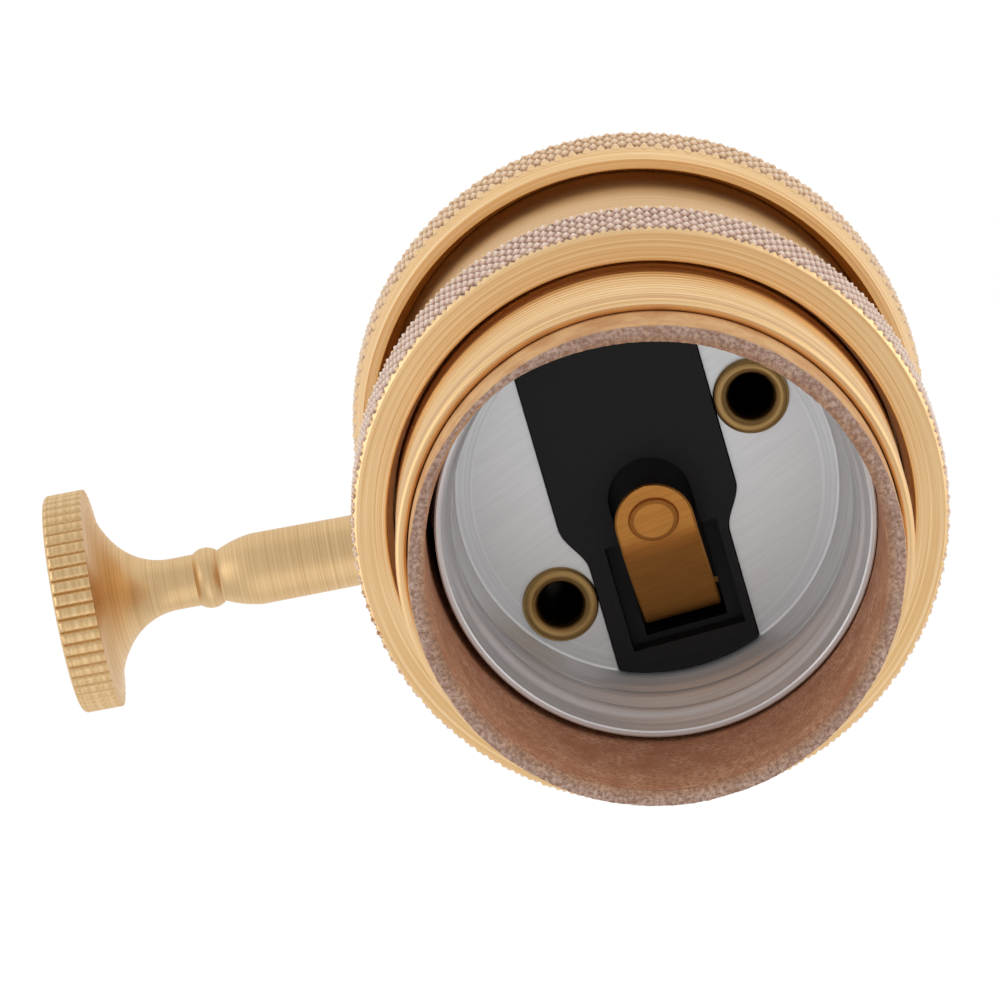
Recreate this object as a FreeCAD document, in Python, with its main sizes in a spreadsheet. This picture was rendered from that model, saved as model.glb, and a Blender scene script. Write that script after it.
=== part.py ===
import FreeCAD, Part
import Sketcher
import math
import os

# A turned brass lamp holder for a medium screw base, with a rotary switch worked by a long knob.
# It stands on its cap, with the mouth up. The Z axis is the axis of the lamp,
# the origin is the centre of the cap's bottom face, and the knob points along +X.

doc = FreeCAD.newDocument("lamp_holder")

# Driving sizes in millimetres, and angles in degrees
SIZES = {
    # heights of the stack, from the bottom up
    "neck_height": 6.5,
    "shoulder_height": 9.6,
    "rim_height": 7.9,
    "window_height": 15.7,
    "ring_height": 6.7,
    "collar_reach": 8.0,
    "liner_proud": 3.6,
    # lamp thread and screw shell, from the lamp outwards
    "crest_radius": 12.48,
    "thread_rise": 0.82,
    "thread_pitch": 3.629,
    "first_crest": 2.3,
    "sheet": 0.4,
    "lip_flare": 0.15,
    "lip_depth": 10.0,
    "wall_height": 9.4,
    "plate_step": 0.38,
    # fibre parts
    "liner_gap": 0.1,
    "liner_wall": 1.05,
    "cap_liner_wall": 0.6,
    "notch_gap": 0.98,
    # brass shell
    "shell_gap": 0.1,
    "collar_wall": 0.7,
    "body_step": 0.7,
    "thread_gap": 0.05,
    "edge_chamfer": 0.4,
    "shell_screwed_in": 7.0,
    "knob_hole_gap": 0.48,
    # shade ring
    "ring_thread_gap": 0.15,
    "ring_recess_width": 0.45,
    "ring_recess_depth": 3.0,
    "ring_face_width": 1.6,
    "ring_bevel": 0.6,
    "ring_chamfer": 0.5,
    "ring_seat_gap": 0.1,
    # cap
    "rim_recess_width": 0.8,
    "rim_recess_depth": 2.5,
    "rim_face_width": 0.65,
    "rim_bevel": 0.7,
    "rim_chamfer": 0.7,
    "rim_step": 1.7,
    "shoulder_wall": 0.75,
    "shoulder_arc": 10.5,
    "entry_radius": 4.5,
    "entry_length": 8.8,
    "neck_wall": 4.0,
    "neck_bead_width": 1.4,
    "neck_bead_height": 1.6,
    "neck_bead_arc": 1.44,
    "cavity_step": 1.5,
    "ledge_width": 1.1,
    "ledge_drop": 1.2,
    "sleeve_gap": 0.1,
    # grub screw in the neck
    "grub_radius": 1.5,
    "grub_height": 3.4,
    "grub_slot": 0.5,
    # phenolic blocks
    "block_gap": 0.45,
    "front_height": 5.7,
    "flange_gap": 0.1,
    "flange_height": 1.2,
    "base_turn": 5.0,
    "bridge_wide": 5.72,
    "bridge_waist": 1.22,
    "bridge_shift": 0.33,
    "bridge_step_start": 1.1,
    "bridge_step_end": 4.2,
    "bridge_proud": 0.5,
    "bridge_gap": 0.1,
    "slot_gap": 0.15,
    "slot_lead": 0.85,
    "slot_room": 0.85,
    "slot_depth": 2.0,
    "well_length": 2.4,
    "cheek_wall": 1.0,
    "cheek_start": 3.0,
    "cheek_room": 0.4,
    "cheek_depth": 0.7,
    "barrier_thickness": 1.6,
    "barrier_length": 15.0,
    "barrier_height": 4.0,
    # eyelets
    "eyelet_hole_radius": 1.5,
    "eyelet_wall": 0.3,
    "eyelet_brim": 0.55,
    "eyelet_ahead": 5.81,
    "eyelet_behind": 3.94,
    "eyelet_clearance": 0.11,
    "eyelet_flange": 0.6,
    "eyelet_edge": 0.15,
    "eyelet_roll": 0.4,
    "eyelet_gap": 0.05,
    # centre contact
    "tongue_width": 5.0,
    "tongue_sheet": 0.5,
    "tongue_fold": 8.5,
    "tongue_fold_arc": 0.7,
    "tongue_tip": 1.2,
    "tongue_rise": 4.6,
    "tongue_bend": 2.6,
    "tongue_leg": 3.2,
    "pip_radius": 1.6,
    "pip_height": 0.45,
    "pip_reach": 2.2,
    # switch
    "shaft_side": 2.1,
    "shaft_radius": 1.25,
    "shaft_gap": 0.05,
    "shaft_tail": 0.8,
    "shaft_in_knob": 4.5,
    "chamber_gap": 0.3,
    "end_gap": 0.2,
    "rotor_start": 8.4,
    "rotor_wall": 1.35,
    "cam_length": 2.4,
    "cam_corner": 0.35,
    "hub_end": 0.9,
    "hub_length": 1.5,
    "hub_wall": 0.95,
    "clip_sheet": 0.4,
    "clip_width": 2.8,
    "washer_sheet": 0.4,
    "pin_radius": 0.5,
    "contact_gap": 0.15,
    "tab_gap": 0.25,
    "strip_sheet": 0.4,
    "strip_width": 2.6,
    "strip_side": 2.3,
    "tab_height": 3.0,
    "spring_sheet": 0.3,
    "spring_width": 2.0,
    "spring_drop": 1.3,
    "spring_reach": 3.4,
    "spring_foot": 1.0,
    "spring_flat": 1.0,
    # terminals
    "terminal_sheet": 0.6,
    "terminal_inset": 4.9,
    "terminal_width": 6.4,
    "terminal_shelf": 2.7,
    "neutral_side": 1.4,
    "screw_radius": 1.75,
    "screw_length": 4.6,
    "screw_head_radius": 3.0,
    "screw_head_height": 1.8,
    "screw_slot": 0.9,
    # knob
    "stem_gap": 0.3,
    "stem_wall": 0.92,
    "stem_length": 11.7,
    "stem_swell": 0.08,
    "cone_length": 2.35,
    "cone_radius": 1.66,
    "cone_arc": 7.0,
    "bead_start": 0.05,
    "bead_rise": 0.29,
    "bead_half": 0.79,
    "throat_gap": 1.5,
    "throat_radius": 1.65,
    "flare_inner_arc": 4.2,
    "flare_angle": 50.0,
    "head_radius": 7.05,
    "head_thickness": 2.53,
    "head_edge": 0.25,
    "flute_count": 52,
    "flute_radius": 0.3,
    "flute_offset": 0.06,
}

sheet = doc.addObject("Spreadsheet::Sheet", "Sizes")
for row, (alias, value) in enumerate(SIZES.items(), start=1):
    sheet.set(f"A{row}", alias)
    sheet.set(f"B{row}", str(value))
    sheet.setAlias(f"B{row}", alias)
doc.recompute()


class Size:
    """A length that carries its number and the expression that gives it from the sheet."""

    def __init__(self, number, text):
        self.number = number
        self.text = text

    def __add__(self, other):
        other = size(other)
        return Size(self.number + other.number, f"({self.text} + {other.text})")

    def __sub__(self, other):
        other = size(other)
        return Size(self.number - other.number, f"({self.text} - {other.text})")

    def __mul__(self, other):
        other = size(other)
        return Size(self.number * other.number, f"({self.text} * {other.text})")

    def __truediv__(self, other):
        other = size(other)
        return Size(self.number / other.number, f"({self.text} / {other.text})")

    def __neg__(self):
        return Size(-self.number, f"(0 - {self.text})")

    def __rsub__(self, other):
        return size(other) - self

    def __rmul__(self, other):
        return size(other) * self


def size(value):
    if isinstance(value, Size):
        return value
    return Size(float(value), f"({float(value)})")


def sine(angle):
    return Size(math.sin(math.radians(angle.number)), f"sin({angle.text} * 1deg)")


def cosine(angle):
    return Size(math.cos(math.radians(angle.number)), f"cos({angle.text} * 1deg)")


def root(value):
    return Size(math.sqrt(value.number), f"sqrt({value.text})")


S = {alias: Size(float(value), f"Sizes.{alias}") for alias, value in SIZES.items()}
ZERO = size(0)

# Heights that the pieces share
SHOULDER_BASE = S["neck_height"]
RIM_BASE = SHOULDER_BASE + S["shoulder_height"]
RIM_TOP = RIM_BASE + S["rim_height"]
RING_BASE = RIM_TOP + S["window_height"]
RING_TOP = RING_BASE + S["ring_height"]
COLLAR_TOP = RING_TOP + S["collar_reach"]
MOUTH = COLLAR_TOP + S["liner_proud"]
SHELL_BASE = RIM_TOP - S["shell_screwed_in"]
LEDGE = SHELL_BASE - S["ledge_drop"]
LIP = MOUTH - S["lip_depth"]
PLATE_TOP = LIP - S["wall_height"]
PLATE_BASE = PLATE_TOP - S["sheet"]
AXLE = PLATE_BASE - S["front_height"]
BRIDGE_TOP = PLATE_TOP + S["bridge_proud"]
FLANGE_BASE = RIM_TOP
FLANGE_TOP = FLANGE_BASE + S["flange_height"]
TURN = S["base_turn"]

# Radii about the lamp's axis, each one a wall or a gap outside the one before
ROOT = S["crest_radius"] + S["thread_rise"]
LIP_RADIUS = ROOT + S["lip_flare"]
LINER_INSIDE = LIP_RADIUS + S["sheet"] + S["liner_gap"]
LINER_RADIUS = LINER_INSIDE + S["liner_wall"]
BORE = LINER_RADIUS + S["shell_gap"]
COLLAR = BORE + S["collar_wall"]
BODY = COLLAR + S["body_step"]
RING_THREAD = COLLAR + S["ring_thread_gap"]
RING_RECESS = RING_THREAD + S["ring_recess_width"]
RING_FACE = RING_RECESS + S["ring_face_width"]
CAP_THREAD = BODY + S["thread_gap"]
RIM_RECESS = CAP_THREAD + S["rim_recess_width"]
RIM_FACE = RIM_RECESS + S["rim_face_width"]
SHOULDER = CAP_THREAD + S["shoulder_wall"]
NECK = S["entry_radius"] + S["neck_wall"]
PLATE = S["crest_radius"] - S["plate_step"]
BLOCK = LINER_INSIDE - S["block_gap"]

# Radii and places about the shaft's axis and along it
JOURNAL = S["shaft_radius"] + S["shaft_gap"]
ROTOR = S["shaft_radius"] + S["rotor_wall"]
CAM = ROTOR + S["clip_sheet"]
HUB = S["shaft_radius"] + S["hub_wall"]
STEM = JOURNAL + S["stem_wall"]
CHAMBER = CAM + S["chamber_gap"]
ROTOR_START = -S["rotor_start"]
CHAMBER_START = ROTOR_START - S["end_gap"]
CHAMBER_END = S["hub_end"] + S["washer_sheet"] + S["end_gap"]
HUB_START = S["hub_end"] - S["hub_length"]
SHAFT_START = CHAMBER_START - S["shaft_tail"]
STEM_START = BLOCK + S["stem_gap"]
SHAFT_END = STEM_START + S["shaft_in_knob"]
CAM_CENTRE = ROTOR_START + S["cam_length"] / 2
PIN_X = S["hub_end"] - S["hub_length"] / 2
SPRING_LOW = CAM + S["contact_gap"] + S["spring_sheet"] + S["spring_drop"]

# Places across and along the turned base: the eyelets stand close on both sides of the bridge
STRIP_U = -S["strip_side"]
TAB_V = S["tongue_fold"] - S["tongue_sheet"] / 2 - S["tab_gap"]
SLOT_HALF = S["tongue_width"] / 2 + S["slot_gap"]
SLOT_TIP = -S["tongue_tip"] - S["slot_lead"]
SLOT_END = S["tongue_fold"] + S["tongue_sheet"] / 2 + S["slot_room"]
TERMINAL_REACH = BLOCK - S["terminal_inset"]
TERMINAL_FOLD = TERMINAL_REACH - S["terminal_shelf"]
LINE_SCREW = (STRIP_U, -TERMINAL_REACH)
NEUTRAL_SCREW = (S["neutral_side"], TERMINAL_REACH)
TUBE = S["eyelet_hole_radius"] + S["eyelet_wall"]
EYELET_RADIUS = TUBE + S["eyelet_brim"]
EYELET_SPACE = EYELET_RADIUS + S["eyelet_clearance"]
BRIDGE_NARROW = S["bridge_wide"] - S["bridge_waist"]
EYELETS = [
    (S["bridge_shift"] + BRIDGE_NARROW + EYELET_SPACE, S["eyelet_ahead"]),
    (S["bridge_shift"] - S["bridge_wide"] - EYELET_SPACE, -S["eyelet_behind"]),
]

# How far a cutting tool reaches past the face that it cuts
OVER = 1


def bind(item, name, value):
    item.setExpression(name, size(value).text)


def place(item, x=0, y=0, z=0, axis=None, angle=None):
    """Put an object at x, y, z, turned by angle about axis, with every number bound to the sheet."""
    turn = FreeCAD.Rotation()
    if axis is not None:
        turn = FreeCAD.Rotation(FreeCAD.Vector(*axis), size(angle).number)
    point = [size(value) for value in (x, y, z)]
    item.Placement = FreeCAD.Placement(FreeCAD.Vector(*[value.number for value in point]), turn)
    for name, value in zip("xyz", point):
        bind(item, f"Placement.Base.{name}", value)
    if isinstance(angle, Size):
        bind(item, "Placement.Rotation.Angle", angle)
    return item


def on_base(u, v):
    """A point of the phenolic base, whose bridge is turned a little from the knob."""
    u, v = size(u), size(v)
    return u * cosine(TURN) - v * sine(TURN), u * sine(TURN) + v * cosine(TURN)


UP = (0, 0, 1)
ALONG_X = ((0, 1, 0), 90)


def cylinder(name, radius, height, x=0, y=0, z=0, along_x=False):
    item = doc.addObject("Part::Cylinder", name)
    bind(item, "Radius", radius)
    bind(item, "Height", height)
    if along_x:
        return place(item, x, y, z, *ALONG_X)
    return place(item, x, y, z)


def box(name, low, high, angle=None):
    """A block between two corners. With an angle it lies in the turned frame of the base."""
    item = doc.addObject("Part::Box", name)
    low = [size(value) for value in low]
    high = [size(value) for value in high]
    for side, a, b in zip(("Length", "Width", "Height"), low, high):
        bind(item, side, b - a)
    if angle is None:
        return place(item, *low)
    x, y = on_base(low[0], low[1])
    return place(item, x, y, low[2], UP, angle)


def cut(name, base, *tools):
    if len(tools) == 1:
        tool = tools[0]
    else:
        tool = doc.addObject("Part::MultiFuse", name + "_tools")
        tool.Shapes = list(tools)
    item = doc.addObject("Part::Cut", name)
    item.Base = base
    item.Tool = tool
    return item


def fuse(name, *shapes):
    item = doc.addObject("Part::MultiFuse", name)
    item.Shapes = list(shapes)
    return item


def draw(sketch, outline):
    """Draw a closed outline of (x, y) or (x, y, arc) corners, and bind each corner to the sheet.

    arc is the radius of the edge that arrives at the corner: positive turns left, negative right.
    """
    corners = [(size(c[0]), size(c[1]), c[2] if len(c) > 2 else None) for c in outline]
    edges = []
    for (ax, ay, _), (bx, by, arc) in zip(corners, corners[1:] + corners[:1]):
        a = FreeCAD.Vector(ax.number, ay.number, 0)
        b = FreeCAD.Vector(bx.number, by.number, 0)
        if arc is None:
            edges.append((Part.LineSegment(a, b), 1, 2))
            continue
        radius = size(arc).number
        chord = b - a
        left = FreeCAD.Vector(-chord.y, chord.x, 0).normalize()
        reach = math.sqrt(max(radius ** 2 - (chord.Length / 2) ** 2, 0))
        centre = (a + b) * 0.5 + left * math.copysign(reach, radius)
        circle = Part.Circle(centre, FreeCAD.Vector(0, 0, 1), abs(radius))
        first, last = (a, b) if radius > 0 else (b, a)
        start = math.atan2(first.y - centre.y, first.x - centre.x)
        stop = math.atan2(last.y - centre.y, last.x - centre.x)
        ends = (1, 2) if radius > 0 else (2, 1)
        edges.append((Part.ArcOfCircle(circle, start, stop), *ends))
    sketch.addGeometry([edge[0] for edge in edges], False)
    count = len(edges)
    for i in range(count):
        after = (i + 1) % count
        sketch.addConstraint(Sketcher.Constraint("Coincident", i, edges[i][2], after, edges[after][1]))
    for i, (x, y, _) in enumerate(corners):
        for kind, on_axis, value in (("DistanceX", -2, x), ("DistanceY", -1, y)):
            if value is ZERO:
                sketch.addConstraint(Sketcher.Constraint("PointOnObject", i, edges[i][1], on_axis))
                continue
            link = sketch.addConstraint(Sketcher.Constraint(kind, -1, 1, i, edges[i][1], value.number))
            sketch.setExpression(f"Constraints[{link}]", value.text)
    for i in range(count):
        arc = corners[(i + 1) % count][2]
        if arc is not None:
            length = size(arc) if size(arc).number > 0 else -size(arc)
            link = sketch.addConstraint(Sketcher.Constraint("Radius", i, length.number))
            sketch.setExpression(f"Constraints[{link}]", length.text)


def turned(name, outline, about="V_Axis"):
    """A turned piece: its half section, (radius, height) corners, revolved in a body of its own."""
    body = doc.addObject("PartDesign::Body", name)
    sketch = body.newObject("Sketcher::SketchObject", name + "_section")
    plane = [item for item in body.Origin.OriginFeatures if item.Role == "XZ_Plane"][0]
    sketch.AttachmentSupport = [(plane, "")]
    sketch.MapMode = "FlatFace"
    draw(sketch, outline)
    doc.recompute()
    spin = body.newObject("PartDesign::Revolution", name + "_turning")
    spin.Profile = sketch
    spin.ReferenceAxis = (sketch, [about])
    spin.Angle = 360
    body.Tip = spin
    return body


def prism(name, outline, height, z):
    """A flat outline in the base's turned frame, raised from the level z."""
    sketch = doc.addObject("Sketcher::SketchObject", name + "_outline")
    draw(sketch, outline)
    place(sketch, 0, 0, z, UP, TURN)
    item = doc.addObject("Part::Extrusion", name)
    item.Base = sketch
    item.DirMode = "Custom"
    item.Dir = FreeCAD.Vector(0, 0, 1)
    item.Solid = True
    bind(item, "LengthFwd", height)
    return item


def folded(name, outline, width, middle, on_turn=True):
    """A folded strip: its edge outline in (v, height), given a width across the base at u = middle."""
    sketch = doc.addObject("Sketcher::SketchObject", name + "_edge")
    draw(sketch, outline)
    start = size(middle) - size(width) / 2
    turn, x, y = 0, start, ZERO
    if on_turn:
        turn = TURN.number
        x, y = on_base(start, 0)
    upright = FreeCAD.Rotation(FreeCAD.Vector(0, 0, 1), 90 + turn)
    upright = upright.multiply(FreeCAD.Rotation(FreeCAD.Vector(1, 0, 0), 90))
    sketch.Placement = FreeCAD.Placement(FreeCAD.Vector(x.number, y.number, 0), upright)
    bind(sketch, "Placement.Base.x", x)
    bind(sketch, "Placement.Base.y", y)
    item = doc.addObject("Part::Extrusion", name)
    item.Base = sketch
    item.DirMode = "Normal"
    item.Solid = True
    bind(item, "LengthFwd", width)
    return item


parts = {}


def finish(node, item):
    item.Label = node
    parts[node] = item
    return item


# Front shell: a turned tube. The collar at the mouth carries the shade ring's thread,
# and the wider body screws into the cap.
def make_front_shell():
    chamfer = S["edge_chamfer"]
    outline = [
        (BORE, SHELL_BASE),
        (BODY - chamfer, SHELL_BASE),
        (BODY, SHELL_BASE + chamfer),
        (BODY, RING_BASE),
        (COLLAR, RING_BASE),
        (COLLAR, COLLAR_TOP - chamfer),
        (COLLAR - chamfer, COLLAR_TOP),
        (BORE, COLLAR_TOP),
    ]
    tube = turned("shell_turning", outline)
    reach = BODY + OVER
    hole = cylinder("knob_hole", STEM + S["knob_hole_gap"], reach, 0, S["shaft_side"], AXLE, along_x=True)
    finish("front_shell", cut("front_shell_cut", tube, hole))


# Shade ring: knurled outside, threaded inside, with a recess round the collar at its front.
def make_shade_ring():
    low = RING_BASE + S["ring_seat_gap"]
    ring = RING_FACE + S["ring_bevel"]
    chamfer = S["ring_chamfer"]
    outline = [
        (RING_THREAD, low),
        (RING_FACE, low),
        (ring, low + chamfer),
        (ring, RING_TOP - chamfer),
        (RING_FACE, RING_TOP),
        (RING_RECESS, RING_TOP),
        (RING_RECESS, RING_TOP - S["ring_recess_depth"]),
        (RING_THREAD, RING_TOP - S["ring_recess_depth"] - S["ring_recess_width"]),
    ]
    finish("shade_ring", turned("shade_ring_turning", outline))


# Cap: knurled rim, domed shoulder and a short neck with a pipe thread.
def make_cap():
    rim = RIM_FACE + S["rim_bevel"]
    sleeve = BORE + S["sleeve_gap"]
    bead = NECK + S["neck_bead_width"]
    step = RIM_BASE + S["rim_step"]
    knurl_top = RIM_TOP - S["rim_chamfer"]
    chamfer = S["edge_chamfer"]
    outline = [
        (S["entry_radius"], ZERO),
        (NECK - chamfer, ZERO),
        (NECK, chamfer),
        (NECK, SHOULDER_BASE - S["neck_bead_height"]),
        (bead, SHOULDER_BASE - S["neck_bead_height"] / 2, S["neck_bead_arc"]),
        (bead, SHOULDER_BASE),
        (SHOULDER, RIM_BASE, S["shoulder_arc"]),
        (SHOULDER, step),
        (rim - S["ring_chamfer"] / 2, step),
        (rim, step + S["ring_chamfer"]),
        (rim, knurl_top),
        (RIM_FACE, RIM_TOP),
        (RIM_RECESS, RIM_TOP),
        (RIM_RECESS, RIM_TOP - S["rim_recess_depth"]),
        (CAP_THREAD, RIM_TOP - S["rim_recess_depth"] - S["rim_recess_width"]),
        (CAP_THREAD, SHELL_BASE),
        (sleeve, SHELL_BASE),
        (sleeve, LEDGE),
        (BORE - S["ledge_width"], LEDGE),
        (S["entry_radius"] + S["cavity_step"], S["entry_length"]),
        (S["entry_radius"], S["entry_length"]),
    ]
    shell = turned("cap_turning", outline)
    hole_start = -NECK - OVER
    tapped = S["grub_radius"] + S["thread_gap"]
    hole = cylinder("grub_hole", tapped, NECK, hole_start, 0, S["grub_height"], along_x=True)
    finish("cap", cut("cap_cut", shell, hole))


# Grub screw: slotted, it locks the neck on its pipe from the side away from the knob.
def make_neck_grub_screw():
    start = -NECK + S["edge_chamfer"]
    screw = cylinder("grub", S["grub_radius"], S["neck_wall"] - 2 * S["edge_chamfer"],
                     start, 0, S["grub_height"], along_x=True)
    half = S["grub_slot"] / 2
    slot = box("grub_slot_tool", (start - OVER, -half, S["grub_height"] - S["grub_radius"] - OVER),
               (start + 2 * S["grub_slot"], half, S["grub_height"] + S["grub_radius"] + OVER))
    finish("neck_grub_screw", cut("grub_cut", screw, slot))


# Fibre liner: a tube cut from thin board, with a notch at its back for the knob's stem.
def make_fibre_liner():
    outline = [
        (LINER_INSIDE, FLANGE_TOP),
        (LINER_RADIUS, FLANGE_TOP),
        (LINER_RADIUS, MOUTH),
        (LINER_INSIDE, MOUTH),
    ]
    tube = turned("liner_turning", outline)
    half = STEM + S["notch_gap"]
    side = S["shaft_side"]
    reach = LINER_RADIUS + OVER
    slot = box("notch_slot", (0, side - half, FLANGE_TOP - OVER), (reach, side + half, AXLE))
    top = cylinder("notch_top", half, reach, 0, side, AXLE, along_x=True)
    finish("fibre_liner", cut("liner_cut", tube, slot, top))


# Cap liner: a fibre sleeve that keeps the terminals from the brass and carries the rear block.
def make_cap_liner():
    outer = LINER_RADIUS
    inner = outer - S["cap_liner_wall"]
    outline = [
        (inner, LEDGE),
        (outer, LEDGE),
        (outer, FLANGE_BASE),
        (inner, FLANGE_BASE),
    ]
    finish("cap_liner", turned("cap_liner_turning", outline))


# The bridge of the front block: wide towards one eyelet, waisted to let the other one in.
def bridge_outline(gap, reach):
    wide = S["bridge_wide"] + gap
    narrow = BRIDGE_NARROW + gap
    start = S["bridge_step_start"]
    end = S["bridge_step_end"]
    middle_u = (wide + narrow) / 2
    middle_v = (start + end) / 2
    side = (wide - narrow) / 2
    length = (end - start) / 2
    bend = (side * side + length * length) / (side * 2)
    shift = S["bridge_shift"]
    corners = [
        (wide, -reach),
        (wide, start),
        (middle_u, middle_v, bend),
        (narrow, end, -bend),
        (narrow, reach),
        (-narrow, reach),
        (-narrow, end),
        (-middle_u, middle_v, -bend),
        (-wide, start, bend),
        (-wide, -reach),
    ]
    return [(u + shift, *rest) for u, *rest in corners]


# Screw shell: spun aluminium with a rolled thread, closed by a plate that is cut out for the bridge.
def thread_line(offset):
    """The shell's wall from its lip down to the plate, moved outwards by offset."""
    crest = LIP - S["first_crest"]
    pitch = S["thread_pitch"]
    middle = (S["crest_radius"] + ROOT) / 2 + offset
    swing = (ROOT - S["crest_radius"]) / 2
    bend = (pitch * pitch / 16 + swing * swing) / (swing * 2)
    line = [(LIP_RADIUS + offset, LIP), (middle, crest + pitch / 4)]
    for turn in range(2):
        low = crest - turn * pitch
        line.append((middle, low - pitch / 4, bend))
        if turn == 0:
            line.append((middle, low - pitch * 3 / 4, -bend))
    return line


def backwards(line):
    """The same corners and arcs, drawn the other way round."""
    result = []
    for i in range(len(line) - 1, -1, -1):
        arc = line[i + 1][2] if i + 1 < len(line) and len(line[i + 1]) > 2 else None
        corner = (line[i][0], line[i][1])
        result.append(corner if arc is None else (*corner, -arc))
    return result


def make_screw_shell():
    gauge = S["sheet"]
    outline = thread_line(gauge) + [(PLATE + gauge, PLATE_TOP + gauge), (PLATE + gauge, PLATE_BASE)]
    outline += [(ZERO, PLATE_BASE), (ZERO, PLATE_TOP), (PLATE, PLATE_TOP)]
    outline += backwards(thread_line(ZERO))
    cup = turned("screw_shell_spinning", outline)
    below = PLATE_BASE - gauge
    window = prism("plate_window_strip", bridge_outline(S["bridge_gap"], PLATE + OVER), 3 * gauge, below)
    disc = cylinder("plate_window_disc", PLATE, 3 * gauge, 0, 0, below)
    opening = doc.addObject("Part::Common", "plate_window")
    opening.Base = window
    opening.Tool = disc
    holes = eyelet_holes("plate", below, PLATE_TOP + gauge)
    finish("screw_shell", cut("screw_shell_cut", cup, opening, *holes))


def eyelet_holes(name, low, high):
    holes = []
    for side, spot in enumerate(EYELETS):
        x, y = on_base(*spot)
        holes.append(cylinder(f"{name}_eyelet_{side}", TUBE + S["eyelet_gap"], high - low, x, y, low))
    return holes


# The room in both blocks for the shaft, the rotor and its detent.
def switch_room(name):
    side = S["shaft_side"]
    chamber = cylinder(f"{name}_chamber", CHAMBER, CHAMBER_END - CHAMBER_START, CHAMBER_START,
                       side, AXLE, along_x=True)
    start = SHAFT_START - S["shaft_gap"]
    journal = cylinder(f"{name}_journal", JOURNAL, BLOCK + OVER - start, start, side, AXLE, along_x=True)
    return [chamber, journal]


# Front block: a phenolic disc with the bridge on top, the slot for the tongue and half the switch room.
def make_front_block():
    disc = cylinder("front_disc", BLOCK, PLATE_BASE - AXLE, 0, 0, AXLE)
    reach = PLATE + OVER
    strip = prism("bridge_strip", bridge_outline(ZERO, reach), BRIDGE_TOP - PLATE_BASE, PLATE_BASE)
    limit = cylinder("bridge_limit", PLATE - S["bridge_gap"], BRIDGE_TOP - PLATE_BASE,
                     0, 0, PLATE_BASE)
    bridge = doc.addObject("Part::Common", "bridge")
    bridge.Base = strip
    bridge.Tool = limit
    solid = fuse("front_solid", disc, bridge)
    over = BRIDGE_TOP + OVER
    slot_floor = BRIDGE_TOP - S["slot_depth"]
    half = SLOT_HALF
    arch = [
        (half, SLOT_TIP + half, half),
        (half, SLOT_END),
        (-half, SLOT_END),
        (-half, SLOT_TIP + half),
        (ZERO, SLOT_TIP, half),
    ]
    slot = prism("tongue_slot", arch, over - slot_floor, slot_floor)
    well = box("tongue_well", (-half, SLOT_END - S["well_length"], AXLE - OVER),
               (half, SLOT_END, over), TURN)
    cheek = SLOT_HALF + S["cheek_wall"]
    cheeks = box("cheek_recess", (-cheek, S["cheek_start"], BRIDGE_TOP - S["cheek_depth"]),
                 (cheek, SLOT_END + S["cheek_room"], over), TURN)
    holes = eyelet_holes("front", AXLE - OVER, over)
    low_u = STRIP_U - S["strip_width"] / 2 - S["bridge_gap"]
    high_u = STRIP_U + S["strip_width"] / 2 + S["bridge_gap"]
    tab = box("tab_slot", (low_u, TAB_V - S["strip_sheet"] - S["bridge_gap"], AXLE - OVER),
              (high_u, TAB_V + S["bridge_gap"], AXLE + S["tab_height"] + S["bridge_gap"]), TURN)
    tools = [slot, well, cheeks, tab] + holes + switch_room("front")
    finish("front_block", cut("front_block_cut", solid, *tools))


# Rear block: the other half of the switch room, a flange that the fibre tubes hold,
# seats for both terminals and the barrier between them.
def make_rear_block():
    disc = cylinder("rear_disc", BLOCK, AXLE - FLANGE_BASE, 0, 0, FLANGE_BASE)
    flange = cylinder("rear_flange", LINER_RADIUS - S["flange_gap"], S["flange_height"], 0, 0, FLANGE_BASE)
    half_length, half = S["barrier_length"] / 2, S["barrier_thickness"] / 2
    barrier = box("barrier", (-half_length, -half, FLANGE_BASE - S["barrier_height"]),
                  (half_length, half, FLANGE_BASE), TURN)
    solid = fuse("rear_solid", disc, flange, barrier)
    gap = S["bridge_gap"]
    seat = S["terminal_sheet"]
    low_u = STRIP_U - S["strip_width"] / 2 - gap
    high_u = STRIP_U + S["strip_width"] / 2 + gap
    groove = box("switch_strip_groove", (low_u, S["shaft_side"], AXLE - S["strip_sheet"] - gap),
                 (high_u, TAB_V + gap, AXLE + OVER), TURN)
    line_groove = box("line_strip_groove", (low_u, -TERMINAL_FOLD - gap, AXLE - seat - gap),
                      (high_u, S["shaft_side"], AXLE + OVER), TURN)
    line_slot = box("line_strip_slot", (low_u, -TERMINAL_FOLD - gap, FLANGE_BASE - OVER),
                    (high_u, -TERMINAL_FOLD + seat + gap, AXLE + OVER), TURN)
    line_seat = prism("line_seat", line_plate_outline(gap), seat + gap, FLANGE_BASE - gap)
    neutral_seat = prism("neutral_seat", neutral_plate_outline(gap), seat + gap, FLANGE_BASE - gap)
    bores = []
    for name, (u, v) in (("line", LINE_SCREW), ("neutral", NEUTRAL_SCREW)):
        x, y = on_base(u, v)
        bores.append(cylinder(f"{name}_screw_bore", S["screw_radius"] + gap, S["screw_length"] + 2 * gap,
                              x, y, FLANGE_BASE))
    reach = S["spring_reach"] + gap
    side = S["shaft_side"]
    pocket = box("spring_pocket",
                 (CAM_CENTRE - S["spring_width"] / 2 - gap, side - reach, AXLE - SPRING_LOW),
                 (CAM_CENTRE + S["spring_width"] / 2 + gap, side + reach, AXLE + OVER))
    tools = [groove, line_groove, line_slot, line_seat, neutral_seat, pocket] + bores
    tools += eyelet_holes("rear", FLANGE_BASE - OVER, AXLE + OVER) + switch_room("rear")
    finish("rear_block", cut("rear_block_cut", solid, *tools))


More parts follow.
